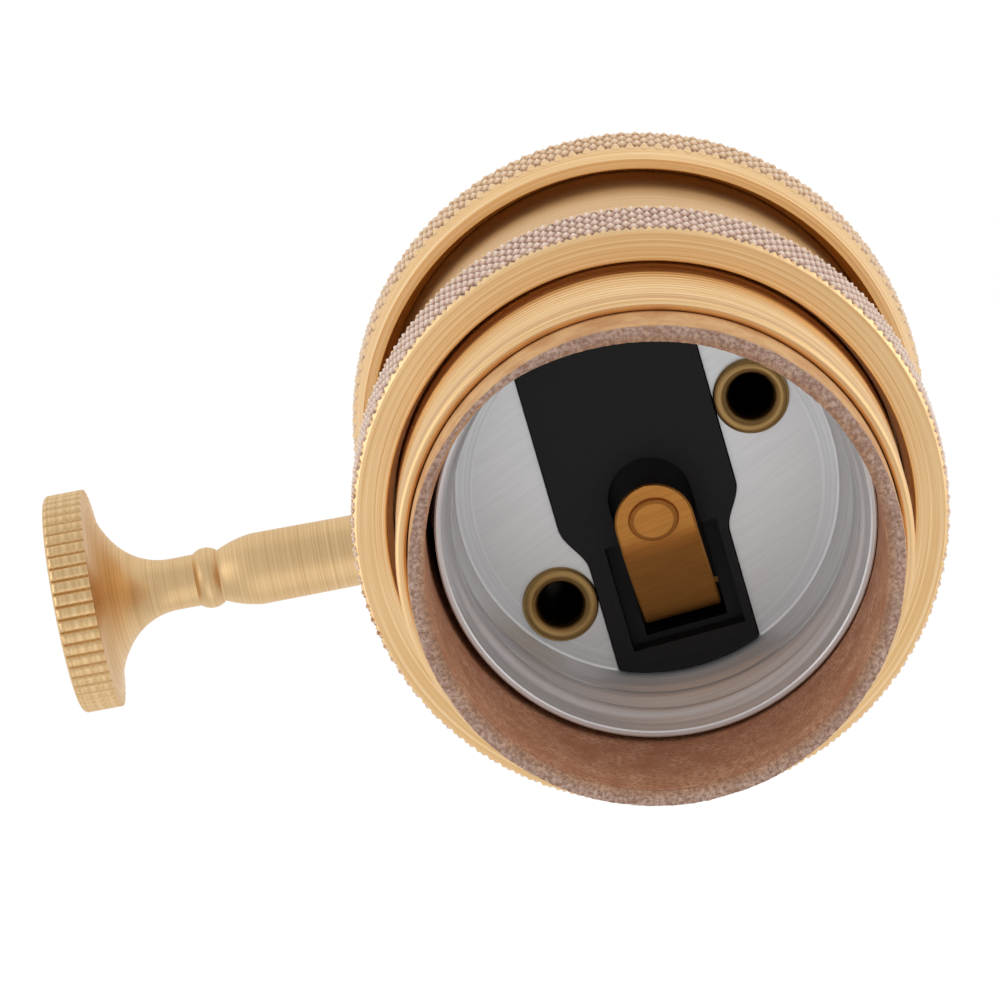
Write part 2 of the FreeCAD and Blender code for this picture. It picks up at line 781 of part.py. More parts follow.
def line_plate_outline(gap):
    """A tab with a round end about the screw."""
    half = S["terminal_width"] / 2 + gap
    u, v = LINE_SCREW
    fold = -TERMINAL_FOLD + S["terminal_sheet"] + gap
    return [(u + half, fold), (u - half, fold), (u - half, v), (u, v - half, half), (u + half, v, half)]


def neutral_plate_outline(gap):
    """A link with round ends about its screw and the eyelet that holds it."""
    half = S["terminal_width"] / 2 + gap
    eye_u, eye_v = EYELETS[0]
    u, v = NEUTRAL_SCREW
    du, dv = eye_u - u, eye_v - v
    length = root(du * du + dv * dv)
    along_u, along_v = du / length * half, dv / length * half
    across_u, across_v = -along_v, along_u
    return [
        (eye_u - across_u, eye_v - across_v),
        (eye_u + along_u, eye_v + along_v, half),
        (eye_u + across_u, eye_v + across_v, half),
        (u + across_u, v + across_v),
        (u - along_u, v - along_v, half),
        (u - across_u, v - across_v, half),
    ]


# Eyelets: rolled over the plate in front and over the rear block behind.
def make_eyelets():
    tube, hole = TUBE, S["eyelet_hole_radius"]
    wide = EYELET_RADIUS
    rolled = S["eyelet_flange"]
    edge = PLATE_TOP + S["eyelet_edge"]
    half, rise = (wide - hole) / 2, S["eyelet_roll"]
    roll_arc = (half * half + rise * rise) / (rise * 2)
    outline = [
        (hole, FLANGE_BASE - rolled),
        (wide, FLANGE_BASE - rolled / 2),
        (wide, FLANGE_BASE),
        (tube, FLANGE_BASE),
        (tube, PLATE_TOP),
        (wide, PLATE_TOP),
        (wide, edge),
        (hole, edge, roll_arc),
    ]
    both = []
    for side, spot in enumerate(EYELETS):
        x, y = on_base(*spot)
        both.append(place(turned(f"eyelet_{side}", outline), x, y, 0))
    group = doc.addObject("Part::Compound", "eyelet_pair")
    group.Links = both
    finish("eyelets", group)


# Centre contact: a sprung tongue folded up out of the well, with a coined pip for the lamp.
def make_centre_contact():
    gauge = S["tongue_sheet"]
    fold = S["tongue_fold"] + gauge / 2
    tip = -S["tongue_tip"]
    rise, run = S["tongue_rise"], fold - S["tongue_bend"]
    length = root(rise * rise + run * run)
    lean_v, lean_z = run / length, rise / length
    bend = S["tongue_fold_arc"]
    turn = bend * (1 - lean_z) / lean_v
    top = PLATE_BASE + rise
    drop = gauge / lean_v
    inner_v = fold - gauge
    inner_z = PLATE_BASE + gauge * lean_z / lean_v - drop
    outline = [
        (fold, PLATE_BASE - S["tongue_leg"]),
        (fold, PLATE_BASE - turn),
        (fold - lean_v * turn, PLATE_BASE + lean_z * turn, bend),
        (S["tongue_bend"], top),
        (tip, top),
        (tip, top - gauge),
        (S["tongue_bend"] + (drop - gauge) * lean_v / lean_z, top - gauge),
        (inner_v, inner_z),
        (inner_v, PLATE_BASE - S["tongue_leg"]),
    ]
    strip = folded("tongue_strip", outline, S["tongue_width"], 0)
    half = S["tongue_width"] / 2
    plan = [
        (half, tip + half, half),
        (half, fold + OVER),
        (-half, fold + OVER),
        (-half, tip + half),
        (ZERO, tip, half),
    ]
    below = PLATE_BASE - S["tongue_leg"] - OVER
    limit = prism("tongue_plan", plan, rise + S["tongue_leg"] + 2 * OVER, below)
    tongue = doc.addObject("Part::Common", "tongue")
    tongue.Base = strip
    tongue.Tool = limit
    x, y = on_base(0, tip + S["pip_reach"])
    pip = doc.addObject("Part::Cone", "pip")
    bind(pip, "Radius1", S["pip_radius"])
    bind(pip, "Radius2", S["pip_radius"] - S["pip_height"] / 2)
    bind(pip, "Height", S["pip_height"] + gauge / 2)
    place(pip, x, y, top - gauge / 2)
    finish("centre_contact", fuse("centre_contact_fuse", tongue, pip))


# Switch contact: a strip from the tongue's leg to the rotor, held between the two blocks.
def make_switch_contact():
    gauge = S["strip_sheet"]
    lean = (S["strip_width"] / 2 - STRIP_U) * sine(TURN)
    end = S["shaft_side"] + CAM + S["contact_gap"] + lean
    outline = [
        (end, AXLE - gauge),
        (TAB_V, AXLE - gauge),
        (TAB_V, AXLE + S["tab_height"]),
        (TAB_V - gauge, AXLE + S["tab_height"]),
        (TAB_V - gauge, AXLE),
        (end, AXLE),
    ]
    finish("switch_contact", folded("switch_strip", outline, S["strip_width"], STRIP_U))


# Line terminal: one folded strip from the rotor down to the plate under its screw.
def make_line_terminal():
    gauge = S["terminal_sheet"]
    end = S["shaft_side"] - CAM - S["contact_gap"]
    fold = -TERMINAL_FOLD
    outline = [
        (end, AXLE),
        (fold, AXLE),
        (fold, FLANGE_BASE),
        (fold + gauge, FLANGE_BASE),
        (fold + gauge, AXLE - gauge),
        (end, AXLE - gauge),
    ]
    strip = folded("line_strip", outline, S["strip_width"], STRIP_U)
    plate = prism("line_plate", line_plate_outline(ZERO), gauge, FLANGE_BASE)
    x, y = on_base(*LINE_SCREW)
    hole = cylinder("line_hole", S["screw_radius"] + S["thread_gap"], gauge * 3, x, y, FLANGE_BASE - gauge)
    finish("line_terminal", cut("line_terminal_cut", fuse("line_solid", strip, plate), hole))


# Neutral terminal: a link between its screw and the eyelet that reaches the screw shell.
def make_neutral_terminal():
    gauge = S["terminal_sheet"]
    plate = prism("neutral_plate", neutral_plate_outline(ZERO), gauge, FLANGE_BASE)
    x, y = on_base(*NEUTRAL_SCREW)
    low = FLANGE_BASE - gauge
    hole = cylinder("neutral_hole", S["screw_radius"] + S["thread_gap"], gauge * 3, x, y, low)
    eye_x, eye_y = on_base(*EYELETS[0])
    eye = cylinder("neutral_eye", TUBE + S["eyelet_gap"], gauge * 3, eye_x, eye_y, low)
    finish("neutral_terminal", cut("neutral_terminal_cut", plate, hole, eye))


# Terminal screws: slotted heads that face the cap.
def make_terminal_screw(node, where):
    x, y = on_base(*where)
    shank = cylinder(node + "_shank", S["screw_radius"], S["screw_length"], x, y, FLANGE_BASE)
    low = FLANGE_BASE - S["screw_head_height"]
    head = cylinder(node + "_head", S["screw_head_radius"], S["screw_head_height"], x, y, low)
    half = S["screw_slot"] / 2
    u, v = where
    reach = S["screw_head_radius"] + OVER
    slot = box(node + "_slot", (u - reach, v - half, low - OVER),
               (u + reach, v + half, low + S["screw_slot"]), TURN)
    finish(node, cut(node + "_cut", fuse(node + "_solid", shank, head), slot))


# Switch: the shaft runs through the rotor and out into the knob's stem.
def along_shaft(name, radius, start, end):
    return cylinder(name, radius, end - start, start, S["shaft_side"], AXLE, along_x=True)


def pin_cylinder(name, radius):
    length = HUB * 2
    return cylinder(name, radius, length, PIN_X, S["shaft_side"], AXLE - HUB)


def make_switch_shaft():
    rod = along_shaft("shaft_rod", S["shaft_radius"], SHAFT_START, SHAFT_END)
    hole = pin_cylinder("shaft_pin_hole", S["pin_radius"])
    finish("switch_shaft", cut("switch_shaft_cut", rod, hole))


def make_rotor():
    start = ROTOR_START
    cam_end = start + S["cam_length"]
    round_cam = along_shaft("cam_round", CAM, start, cam_end)
    half = CAM - S["cam_corner"]
    side = S["shaft_side"]
    flats = box("cam_flats", (start, side - half, AXLE - half), (cam_end, side + half, AXLE + half))
    cam = doc.addObject("Part::Common", "cam")
    cam.Base = round_cam
    cam.Tool = flats
    drum = along_shaft("drum", ROTOR, cam_end, HUB_START)
    hub = along_shaft("hub", HUB, HUB_START, S["hub_end"])
    bore = along_shaft("rotor_bore", S["shaft_radius"], start - OVER, S["hub_end"] + OVER)
    hole = pin_cylinder("rotor_pin_hole", S["pin_radius"])
    finish("rotor", cut("rotor_cut", fuse("rotor_solid", cam, drum, hub), bore, hole))


def make_rotor_pin():
    finish("rotor_pin", pin_cylinder("rotor_pin_rod", S["pin_radius"]))


def make_rotor_washer():
    start = S["hub_end"]
    end = start + S["washer_sheet"]
    disc = along_shaft("washer_disc", ROTOR, start, end)
    bore = along_shaft("washer_bore", JOURNAL, start - OVER, end + OVER)
    finish("rotor_washer", cut("rotor_washer_cut", disc, bore))


def make_moving_contact():
    start = STRIP_U - S["clip_width"] / 2
    end = start + S["clip_width"]
    ring = along_shaft("clip_ring", CAM, start, end)
    bore = along_shaft("clip_bore", ROTOR, start - OVER, end + OVER)
    side = S["shaft_side"]
    gap = box("clip_gap", (start - OVER, side - CAM, AXLE + S["clip_sheet"]),
              (end + OVER, side + CAM, AXLE + CAM))
    finish("moving_contact", cut("moving_contact_cut", ring, bore, gap))


# Detent spring: a bowed steel leaf that lies just under the cam's corners.
def make_detent_spring():
    gauge = S["spring_sheet"]
    side = S["shaft_side"]
    reach = S["spring_reach"]
    bow = reach - S["spring_foot"]
    crown = AXLE - CAM - S["contact_gap"]
    foot = crown - S["spring_drop"]
    flat = S["spring_flat"]
    top = [(side + reach, foot), (side + bow, foot), (side + flat, crown),
           (side - flat, crown), (side - bow, foot), (side - reach, foot)]
    bottom = [(v, z - gauge) for v, z in reversed(top)]
    leaf = folded("spring_leaf", top + bottom, S["spring_width"], CAM_CENTRE, on_turn=False)
    finish("detent_spring", leaf)


# Knob: a plain stem, a rounded cone, a bead and a flared throat up to a thin fluted head.
def make_knob():
    stem_end = STEM_START + S["stem_length"]
    cone_end = stem_end + S["cone_length"]
    bead_start = cone_end + S["bead_start"]
    bead_end = bead_start + 2 * S["bead_half"]
    throat = bead_end + S["throat_gap"]
    rise = S["bead_rise"]
    bead_arc = (S["bead_half"] * S["bead_half"] + rise * rise) / (rise * 2)
    lean = S["flare_angle"]
    inner = S["flare_inner_arc"]
    joint_x = throat + inner * sine(lean)
    joint_r = S["throat_radius"] + inner * (1 - cosine(lean))
    outer = (S["head_radius"] - joint_r) / cosine(lean)
    head_back = joint_x - outer * sine(lean) + outer
    head_front = head_back + S["head_thickness"]
    edge = S["head_edge"]
    outline = [
        (STEM_START, JOURNAL),
        (STEM_START, STEM),
        (stem_end, STEM + S["stem_swell"]),
        (cone_end, S["cone_radius"], -S["cone_arc"]),
        (bead_start, S["cone_radius"]),
        (bead_end, S["cone_radius"], -bead_arc),
        (throat, S["throat_radius"]),
        (joint_x, joint_r, inner),
        (head_back, S["head_radius"], outer),
        (head_front - edge, S["head_radius"]),
        (head_front, S["head_radius"] - edge),
        (head_front, ZERO),
        (SHAFT_END + S["shaft_gap"], ZERO),
        (SHAFT_END + S["shaft_gap"], JOURNAL),
    ]
    body = turned("knob_turning", outline, "H_Axis")
    flute = body.newObject("PartDesign::SubtractiveCylinder", "flute")
    bind(flute, "Radius", S["flute_radius"])
    bind(flute, "Height", S["head_thickness"] + 2 * OVER)
    place(flute, head_back - OVER, 0, S["head_radius"] + S["flute_offset"], *ALONG_X)
    doc.recompute()
    axis = [item for item in body.Origin.OriginFeatures if item.Role == "X_Axis"][0]
    flutes = body.newObject("PartDesign::PolarPattern", "flutes")
    flutes.Originals = [flute]
    flutes.Axis = (axis, [""])
    flutes.Angle = 360
    bind(flutes, "Occurrences", S["flute_count"])
    body.Tip = flutes
    place(body, 0, S["shaft_side"], AXLE)
    finish("knob", body)


make_front_shell()
make_shade_ring()
make_cap()
make_neck_grub_screw()
make_fibre_liner()
make_cap_liner()
make_screw_shell()
make_front_block()
make_rear_block()
make_eyelets()
make_centre_contact()
make_switch_contact()
make_line_terminal()
make_neutral_terminal()
make_terminal_screw("line_screw", LINE_SCREW)
make_terminal_screw("neutral_screw", NEUTRAL_SCREW)
make_switch_shaft()
make_rotor()
make_rotor_pin()
make_rotor_washer()
make_moving_contact()
make_detent_spring()
make_knob()
doc.recompute()

for item in doc.Objects:
    if "Invalid" in item.State or "Error" in item.State:
        raise RuntimeError(f"{item.Name} failed: {item.State}")
for node, item in parts.items():
    shape = item.Shape
    if shape.isNull() or not shape.isValid():
        raise RuntimeError(f"{node} has no valid shape")

os.makedirs("parts", exist_ok=True)
for node, item in parts.items():
    item.Shape.exportStep(f"parts/{node}.step")
    print(node, len(item.Shape.Solids), "solid(s)", round(item.Shape.Volume, 1), "mm3")
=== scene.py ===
# %% [markdown]
# # A turned brass lamp holder
#
# This lesson dresses the plain model of a lamp holder: it adds the camera, the light, and a
# detailed mesh and a finish for every piece that shows. The plain model comes first, because
# every detailed piece takes its place from it.

# %% Load the plain model
import math

import bmesh
import bpy
from mathutils import Matrix, Vector, noise


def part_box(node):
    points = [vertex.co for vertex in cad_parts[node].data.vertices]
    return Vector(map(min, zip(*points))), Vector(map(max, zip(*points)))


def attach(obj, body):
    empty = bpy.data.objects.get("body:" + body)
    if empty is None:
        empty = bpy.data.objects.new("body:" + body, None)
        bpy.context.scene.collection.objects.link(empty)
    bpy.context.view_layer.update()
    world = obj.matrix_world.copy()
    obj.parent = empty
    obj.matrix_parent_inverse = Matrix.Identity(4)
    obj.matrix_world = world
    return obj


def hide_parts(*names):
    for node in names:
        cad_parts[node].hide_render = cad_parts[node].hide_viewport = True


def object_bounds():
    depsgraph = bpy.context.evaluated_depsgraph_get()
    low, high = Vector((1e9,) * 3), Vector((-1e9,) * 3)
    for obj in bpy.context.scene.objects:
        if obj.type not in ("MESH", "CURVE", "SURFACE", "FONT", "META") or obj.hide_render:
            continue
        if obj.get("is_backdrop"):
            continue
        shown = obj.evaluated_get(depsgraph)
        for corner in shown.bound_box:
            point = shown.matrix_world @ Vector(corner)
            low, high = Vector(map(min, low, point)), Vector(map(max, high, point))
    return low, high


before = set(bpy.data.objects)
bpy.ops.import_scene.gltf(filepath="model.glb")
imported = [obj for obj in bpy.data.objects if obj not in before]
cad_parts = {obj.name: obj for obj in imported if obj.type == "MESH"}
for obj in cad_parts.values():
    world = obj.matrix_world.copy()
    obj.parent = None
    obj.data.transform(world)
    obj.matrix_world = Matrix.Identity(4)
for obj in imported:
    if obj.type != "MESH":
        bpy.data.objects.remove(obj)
plain_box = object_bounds()
MM = 0.001
TAU = math.tau

# %% [markdown]
# ## Heights and radii
#
# Millimetres suit a part this small, so all shapes below are drawn in them, and one function
# turns them into metres when a mesh is made. The heights are read from the plain model's own
# boxes, so the detailed pieces sit on the same faces as the plain ones.

# %% Read the heights of the stack


def height_of(node, corner):
    """The lowest (0) or highest (1) level of a plain piece, in millimetres."""
    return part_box(node)[corner].z / MM


MOUTH = height_of("fibre_liner", 1)
COLLAR_TOP = height_of("front_shell", 1)
SHELL_BASE = height_of("front_shell", 0)
RING_TOP = height_of("shade_ring", 1)
RING_LOW = height_of("shade_ring", 0)
RIM_TOP = height_of("cap", 1)
LINER_BASE = height_of("fibre_liner", 0)
LIP = height_of("screw_shell", 1)
PLATE_BASE = height_of("screw_shell", 0)
BRIDGE_TOP = height_of("front_block", 1)
BLOCK_BASE = height_of("front_block", 0)
SHAFT_SIDE = (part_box("knob")[0].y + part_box("knob")[1].y) / 2 / MM
AXLE = (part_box("knob")[0].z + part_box("knob")[1].z) / 2 / MM
print("mouth", round(MOUTH, 2), "ring top", round(RING_TOP, 2), "axle", round(AXLE, 2))

# %% [markdown]
# ## The camera
#
# The photograph was taken from above the mouth with a long lens, so parallel edges stay
# nearly parallel. The camera is placed by its eye point and by the two directions that its
# picture has: where the lens points, and what is on its right. The third direction follows
# from the other two.

# %% Place the camera
EYE = Vector((-6.91, -110.96, 462.55)) * MM
LOOK = Vector((0.03684, 0.25097, -0.96729)).normalized()
RIGHT = Vector((-0.98201, 0.18847, 0.0115)).normalized()
PICTURE_WIDTH = 1000
FOCAL_PIXELS = 6969

lens = bpy.data.cameras.new("camera")
lens.sensor_width = 36
lens.lens = FOCAL_PIXELS / PICTURE_WIDTH * lens.sensor_width
lens.clip_start = 0.01
lens.clip_end = 10
camera = bpy.data.objects.new("camera", lens)
up = RIGHT.cross(LOOK)
turn = Matrix((RIGHT, up, -LOOK)).transposed()
camera.matrix_world = Matrix.Translation(EYE) @ turn.to_4x4()
bpy.context.scene.collection.objects.link(camera)
bpy.context.scene.camera = camera
print("lens", round(lens.lens, 1), "mm")

# %% [markdown]
# ## Small tools for finishes
#
# A finish is a little network of nodes. One function adds a node, sets its options and fills
# its inputs with numbers, colours or the outputs of other nodes. Colours are written the way
# a paint chart gives them, as sRGB codes, and turned into the linear light that shaders use.

# %% Tools for colours and nodes


def linear(code):
    """A colour code such as #DDB27A as linear red, green, blue and full alpha."""
    parts = [int(code[i:i + 2], 16) / 255 for i in (1, 3, 5)]
    return tuple(p / 12.92 if p <= 0.04045 else ((p + 0.055) / 1.055) ** 2.4 for p in parts) + (1.0,)


def add(tree, kind, inputs=None, **options):
    """Add a node, set its options and fill its inputs.

    An input takes a number, a colour code, another node's output, or another node, which
    stands for the first of its outputs that is in use.
    """
    made = tree.nodes.new(kind)
    for name, value in options.items():
        setattr(made, name, value)
    for name, value in (inputs or {}).items():
        if isinstance(value, bpy.types.Node):
            value = next(output for output in value.outputs if output.enabled)
        if isinstance(value, bpy.types.NodeSocket):
            tree.links.new(value, made.inputs[name])
        else:
            made.inputs[name].default_value = linear(value) if isinstance(value, str) else value
    return made


def new_finish(name):
    """An empty material and its node tree."""
    made = bpy.data.materials.new(name)
    made.use_nodes = True
    made.node_tree.nodes.clear()
    return made, made.node_tree


print("mid grey in linear light:", round(linear("#808080")[0], 3))

# %% [markdown]
# ## Floor, backdrop and light
#
# A catalogue photograph stands its product on a white sweep. The floor is white paint, and
# seen directly or mirrored in the brass it is mostly plain white, with a little of its own
# shading left in so that it keeps the soft shadow. Big soft lamps stand in for the studio's
# diffusers. Brass needs something darker to mirror too, so the sky is a plain light grey.

# %% Floor
FLOOR_SIZE = 6.0
PLAIN_SHARE = 0.9
PLAIN_WHITE = 1.04


def white_sweep():
    """White paint that is mostly plain white to the camera and in reflections."""
    made, tree = new_finish("white_sweep")
    ray = add(tree, "ShaderNodeLightPath").outputs
    seen = add(tree, "ShaderNodeMath", {0: ray["Is Camera Ray"], 1: ray["Is Glossy Ray"]},
               operation="MAXIMUM")
    seen = add(tree, "ShaderNodeMath", {0: seen, 1: ray["Is Transmission Ray"]}, operation="MAXIMUM")
    share = add(tree, "ShaderNodeMath", {0: seen, 1: PLAIN_SHARE}, operation="MULTIPLY")
    paint = add(tree, "ShaderNodeBsdfDiffuse", {"Color": "#F4F4F4"})
    plain = add(tree, "ShaderNodeEmission", {"Color": "#FFFFFF", "Strength": PLAIN_WHITE})
    mixed = add(tree, "ShaderNodeMixShader", {0: share, 1: paint, 2: plain})
    add(tree, "ShaderNodeOutputMaterial", {"Surface": mixed})
    return made


half = FLOOR_SIZE / 2
corners = [(-half, -half, 0), (half, -half, 0), (half, half, 0), (-half, half, 0)]
sweep = bpy.data.meshes.new("floor")
sweep.from_pydata(corners, [], [(0, 1, 2, 3)])
sweep.materials.append(white_sweep())
floor = bpy.data.objects.new("floor", sweep)
bpy.context.scene.collection.objects.link(floor)
floor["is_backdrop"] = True
print("floor", FLOOR_SIZE, "m wide")

# %% Sky and lamps
SKY_STRENGTH = 0.74
sky = bpy.data.worlds.new("studio")
sky.use_nodes = True
tree = sky.node_tree
tree.nodes.clear()
ray = add(tree, "ShaderNodeLightPath").outputs
room = add(tree, "ShaderNodeBackground", {"Color": "#FFFFFF", "Strength": SKY_STRENGTH})
page = add(tree, "ShaderNodeBackground", {"Color": "#FFFFFF", "Strength": 1.0})
either = add(tree, "ShaderNodeMixShader", {0: ray["Is Camera Ray"], 1: room, 2: page})
add(tree, "ShaderNodeOutputWorld", {"Surface": either})
bpy.context.scene.world = sky
bpy.context.scene.view_settings.view_transform = "Standard"

TARGET = Vector((0, 0, 45)) * MM
# name, where it stands from the holder in mm, width and height in mm, how bright its face is
LAMPS = [
    ("left_box", (620, -180, 240), 620, 560, 1.2),
    ("right_box", (-620, -160, 240), 560, 560, 1.3),
    ("far_box", (60, 640, 420), 520, 420, 0.4),
    ("top_box", (160, 330, 700), 360, 360, 0.5),
]
for name, place, width, length, glow in LAMPS:
    box = bpy.data.lights.new(name, "AREA")
    box.shape = "RECTANGLE"
    box.size = width * MM
    box.size_y = length * MM
    box.energy = glow * math.pi * box.size * box.size_y
    lamp = bpy.data.objects.new(name, box)
    lamp.location = TARGET + Vector(place) * MM
    lamp.rotation_euler = (-Vector(place)).to_track_quat("-Z", "Y").to_euler()
    bpy.context.scene.collection.objects.link(lamp)
print("lamps:", len(LAMPS))

# %% [markdown]
# ## Finishes
#
# Most finishes here are a pattern, a colour that follows it, and a bump made of it too. Two
# functions hold what they share: one measures how far a place is from the piece's axis, and
# one closes the network with the bump, the shader and the output.

# %% What the finishes share


def from_axis(tree):
    """How far a place is from the piece's Z axis."""
    place = add(tree, "ShaderNodeTexCoord").outputs["Object"]
    flat = add(tree, "ShaderNodeVectorMath", {0: place, 1: (1, 1, 0)}, operation="MULTIPLY")
    return add(tree, "ShaderNodeVectorMath", {0: flat}, operation="LENGTH")


def close_finish(tree, colour, height, depth, strength, settings):
    """Add a bump that is depth millimetres high, the shader with its settings, and the output."""
    bump = add(tree, "ShaderNodeBump", {"Height": height, "Distance": depth * MM, "Strength": strength})
    shader = add(tree, "ShaderNodeBsdfPrincipled", {"Base Color": colour, "Normal": bump, **settings})
    add(tree, "ShaderNodeOutputMaterial", {"Surface": shader})


print("closing and measuring are ready")

# %% [markdown]
# ### Turned brass
#
# Brass is copper and zinc: a warm metal whose colour comes from the reflection itself, so it
# is fully metallic. A lathe tool leaves rings about a tenth of a millimetre apart round the
# axis. They spread highlights across the rings, which the anisotropy gives, and the bump
# draws the rings that are coarse enough to see. Each piece is modelled about its own Z axis,
# so the same finish follows the knob's axis as well as the holder's. Spun aluminium is the
# same but whiter. Its fine pits scatter light like chalk, so it is only partly metallic. The
# shade ring's recess has a paler, partly metallic copy of the brass: painted light that lifts
# the shade deep in the recess.

# %% Turned metals
WEAR_PATCH = 7
# how far a ring wanders while it goes round, as a share of its radius
DRIFT = 0.004


def lathe_rings(tree, spacing):
    """Noise that is drawn out into rings about the piece's Z axis. spacing is in millimetres."""
    place = add(tree, "ShaderNodeTexCoord").outputs["Object"]
    level = add(tree, "ShaderNodeSeparateXYZ", {0: place}).outputs["Z"]
    section = add(tree, "ShaderNodeCombineXYZ", {"X": from_axis(tree), "Y": level})
    slow = add(tree, "ShaderNodeVectorMath", {0: place, "Scale": DRIFT}, operation="SCALE")
    at = add(tree, "ShaderNodeVectorMath", {0: section, 1: slow}, operation="ADD")
    return add(tree, "ShaderNodeTexNoise",
               {"Vector": at, "Scale": 1 / (spacing * MM), "Detail": 3.0, "Roughness": 0.6})


def lathe_skin(tree, colour, roughness, height, depth, grain, polish=1.0):
    """Close a turned finish: patches of wear change its gloss, and grain draws highlights out."""
    place = add(tree, "ShaderNodeTexCoord").outputs["Object"]
    patches = add(tree, "ShaderNodeTexNoise",
                  {"Vector": place, "Scale": 1 / (WEAR_PATCH * MM), "Detail": 2.0})
    rough = add(tree, "ShaderNodeMapRange",
                {"Value": patches, "From Min": 0.3, "From Max": 0.7,
                 "To Min": roughness - 0.04, "To Max": roughness + 0.05})
    around = add(tree, "ShaderNodeTangent", direction_type="RADIAL", axis="Z")
    close_finish(tree, colour, height, depth, 0.6,
                 {"Metallic": polish, "Roughness": rough, "Anisotropic": grain, "Tangent": around})


def turned_metal(name, pale, deep, roughness, spacing, depth, grain=0.55, polish=1.0):
    """A metal from the lathe. depth is how deep its rings look, polish the share that isn't chalky."""
    made, tree = new_finish(name)
    rings = lathe_rings(tree, spacing)
    crisp = add(tree, "ShaderNodeMapRange", {"Value": rings, "From Min": 0.3, "From Max": 0.7})
    colour = add(tree, "ShaderNodeMix", {"Factor": crisp, "A": deep, "B": pale}, data_type="RGBA")
    lathe_skin(tree, colour, roughness, rings, depth, grain, polish)
    return made


BRASS = turned_metal("turned_brass", "#FDE0B4", "#E0B274", 0.46, 0.1, 0.012)
# a paler, partly metallic brass for the shade ring's recess: painted light that lifts its shade
RECESS_LIT_BRASS = turned_metal("recess_brass_painted_light", "#FFDDB0", "#F4C48C", 0.6, 0.2, 0.01, grain=0.0, polish=0.4)
KNOB_BRASS = turned_metal("knob_brass", "#EBCC9C", "#D4AE7A", 0.4, 0.12, 0.012)
EYELET_BRASS = turned_metal("eyelet_brass", "#CBAB70", "#907246", 0.42, 0.25, 0.01, grain=0.2)
# nearly black inside the eyelets' tubes: painted shade deep in the holes
EYELET_TUBE_SHADE = turned_metal("tube_painted_shade", "#3A2E1C", "#241C10", 0.6, 0.25, 0.01, grain=0.0)
ALUMINIUM = turned_metal("spun_aluminium", "#F6F9FB", "#E0E5E9", 0.4, 0.2, 0.006, grain=0.2, polish=0.5)
print("turned metals, the first and the last:", BRASS.name, ALUMINIUM.name)

# %% [markdown]
# ### Knurled brass
#
# The colour of a knurl follows how far a place lies below the full radius: a dark root, which
# is painted shade in the grooves, then a warm flank, then a pale tip, which is a painted
# highlight.

# %% Knurled metals
# where the flank and the tip begin and end, in millimetres below the full radius
FLANK = (0.33, 0.18)
TIP = (0.2, 0.04)
SPECK = 0.3


def knurled_metal(name, full, tip, flank, root, roughness):
    """Knurled brass for a rim of this full radius in mm, with painted shade in its grooves and painted
    highlights on its tips.
    """
    made, tree = new_finish(name)
    radius = from_axis(tree)
    # painted shade in the grooves and painted highlights on the tips, mixed by depth below the full radius
    colour = root
    for (start, end), above in ((FLANK, flank), (TIP, tip)):
        share = add(tree, "ShaderNodeMapRange",
                    {"Value": radius, "From Min": (full - start) * MM, "From Max": (full - end) * MM})
        colour = add(tree, "ShaderNodeMix", {"Factor": share, "A": colour, "B": above}, data_type="RGBA")
    place = add(tree, "ShaderNodeTexCoord").outputs["Object"]
    specks = add(tree, "ShaderNodeTexNoise", {"Vector": place, "Scale": 1 / (SPECK * MM), "Detail": 3.0})
    lathe_skin(tree, colour, roughness, specks, 0.02, 0.0)
    return made


RING_FULL = 18.6
RIM_FULL = 18.7
RING_KNURL = knurled_metal("knurled_brass_painted_shade", RING_FULL, "#F2DDCC", "#C49E88", "#5E4032", 0.32)
RIM_KNURL_BRASS = knurled_metal("knurled_rim_brass_painted_shade", RIM_FULL, "#F4DCC0", "#CFA57C", "#7E5A3C", 0.34)
print("knurled:", RING_KNURL.name, RIM_KNURL_BRASS.name)

# %% [markdown]
# ### Sheet metals
#
# Strip that came off a rolling mill has fine straight lines along it instead of rings. The
# same noise is stretched along one direction, and only its colours and depth change from
# brass to copper alloy, nickel and steel. The lines are drawn a little coarser than the real
# ones, which are too fine to show.

# %% Rolled metals
LINE_STRETCH = 30


def rolled_metal(name, pale, deep, roughness, spacing, depth, turn=0.0):
    """Rolled sheet: lines along one way, turned by degrees about the vertical."""
    made, tree = new_finish(name)
    place = add(tree, "ShaderNodeTexCoord").outputs["Object"]
    along = add(tree, "ShaderNodeMapping",
                {"Vector": place, "Rotation": (0, 0, math.radians(turn)), "Scale": (1, LINE_STRETCH, 1)},
                vector_type="TEXTURE")
    lines = add(tree, "ShaderNodeTexNoise", {"Vector": along, "Scale": 1 / (spacing * MM), "Detail": 3.0})
    colour = add(tree, "ShaderNodeMix", {"Factor": lines, "A": deep, "B": pale}, data_type="RGBA")
    close_finish(tree, colour, lines, depth, 0.5, {"Metallic": 1.0, "Roughness": roughness})
    return made


CONTACT_BRONZE = rolled_metal("contact_bronze", "#D89A52", "#B07838", 0.52, 0.14, 0.006, turn=95)
STRIP_BRASS = rolled_metal("strip_brass", "#D8B674", "#C09A54", 0.3, 0.12, 0.006)
NICKEL = rolled_metal("nickel_plate", "#D8D4CA", "#C6C1B6", 0.22, 0.3, 0.003)
STEEL = rolled_metal("bright_steel", "#C4C5C8", "#AEB0B4", 0.25, 0.12, 0.004)
PLATE_ALUMINIUM = rolled_metal("brushed_aluminium", "#F0F3F5", "#DEE2E4", 0.5, 0.16, 0.005, turn=115)
print("rolled metals, the first and the last:", CONTACT_BRONZE.name, PLATE_ALUMINIUM.name)

# %% [markdown]
# ### Vulcanised fibre
#
# The liner is wound from paper that was hardened into a board. Its outer wall is tan, its
# inner wall has cloudy brown patches, and its sawn rim is pale, speckled and fuzzy. One
# finish holds all three: the radius tells the walls apart, and the height finds the rim. Two
# small tables say what is mixed: the first gives the shares, the second the shades.

# %% Vulcanised fibre


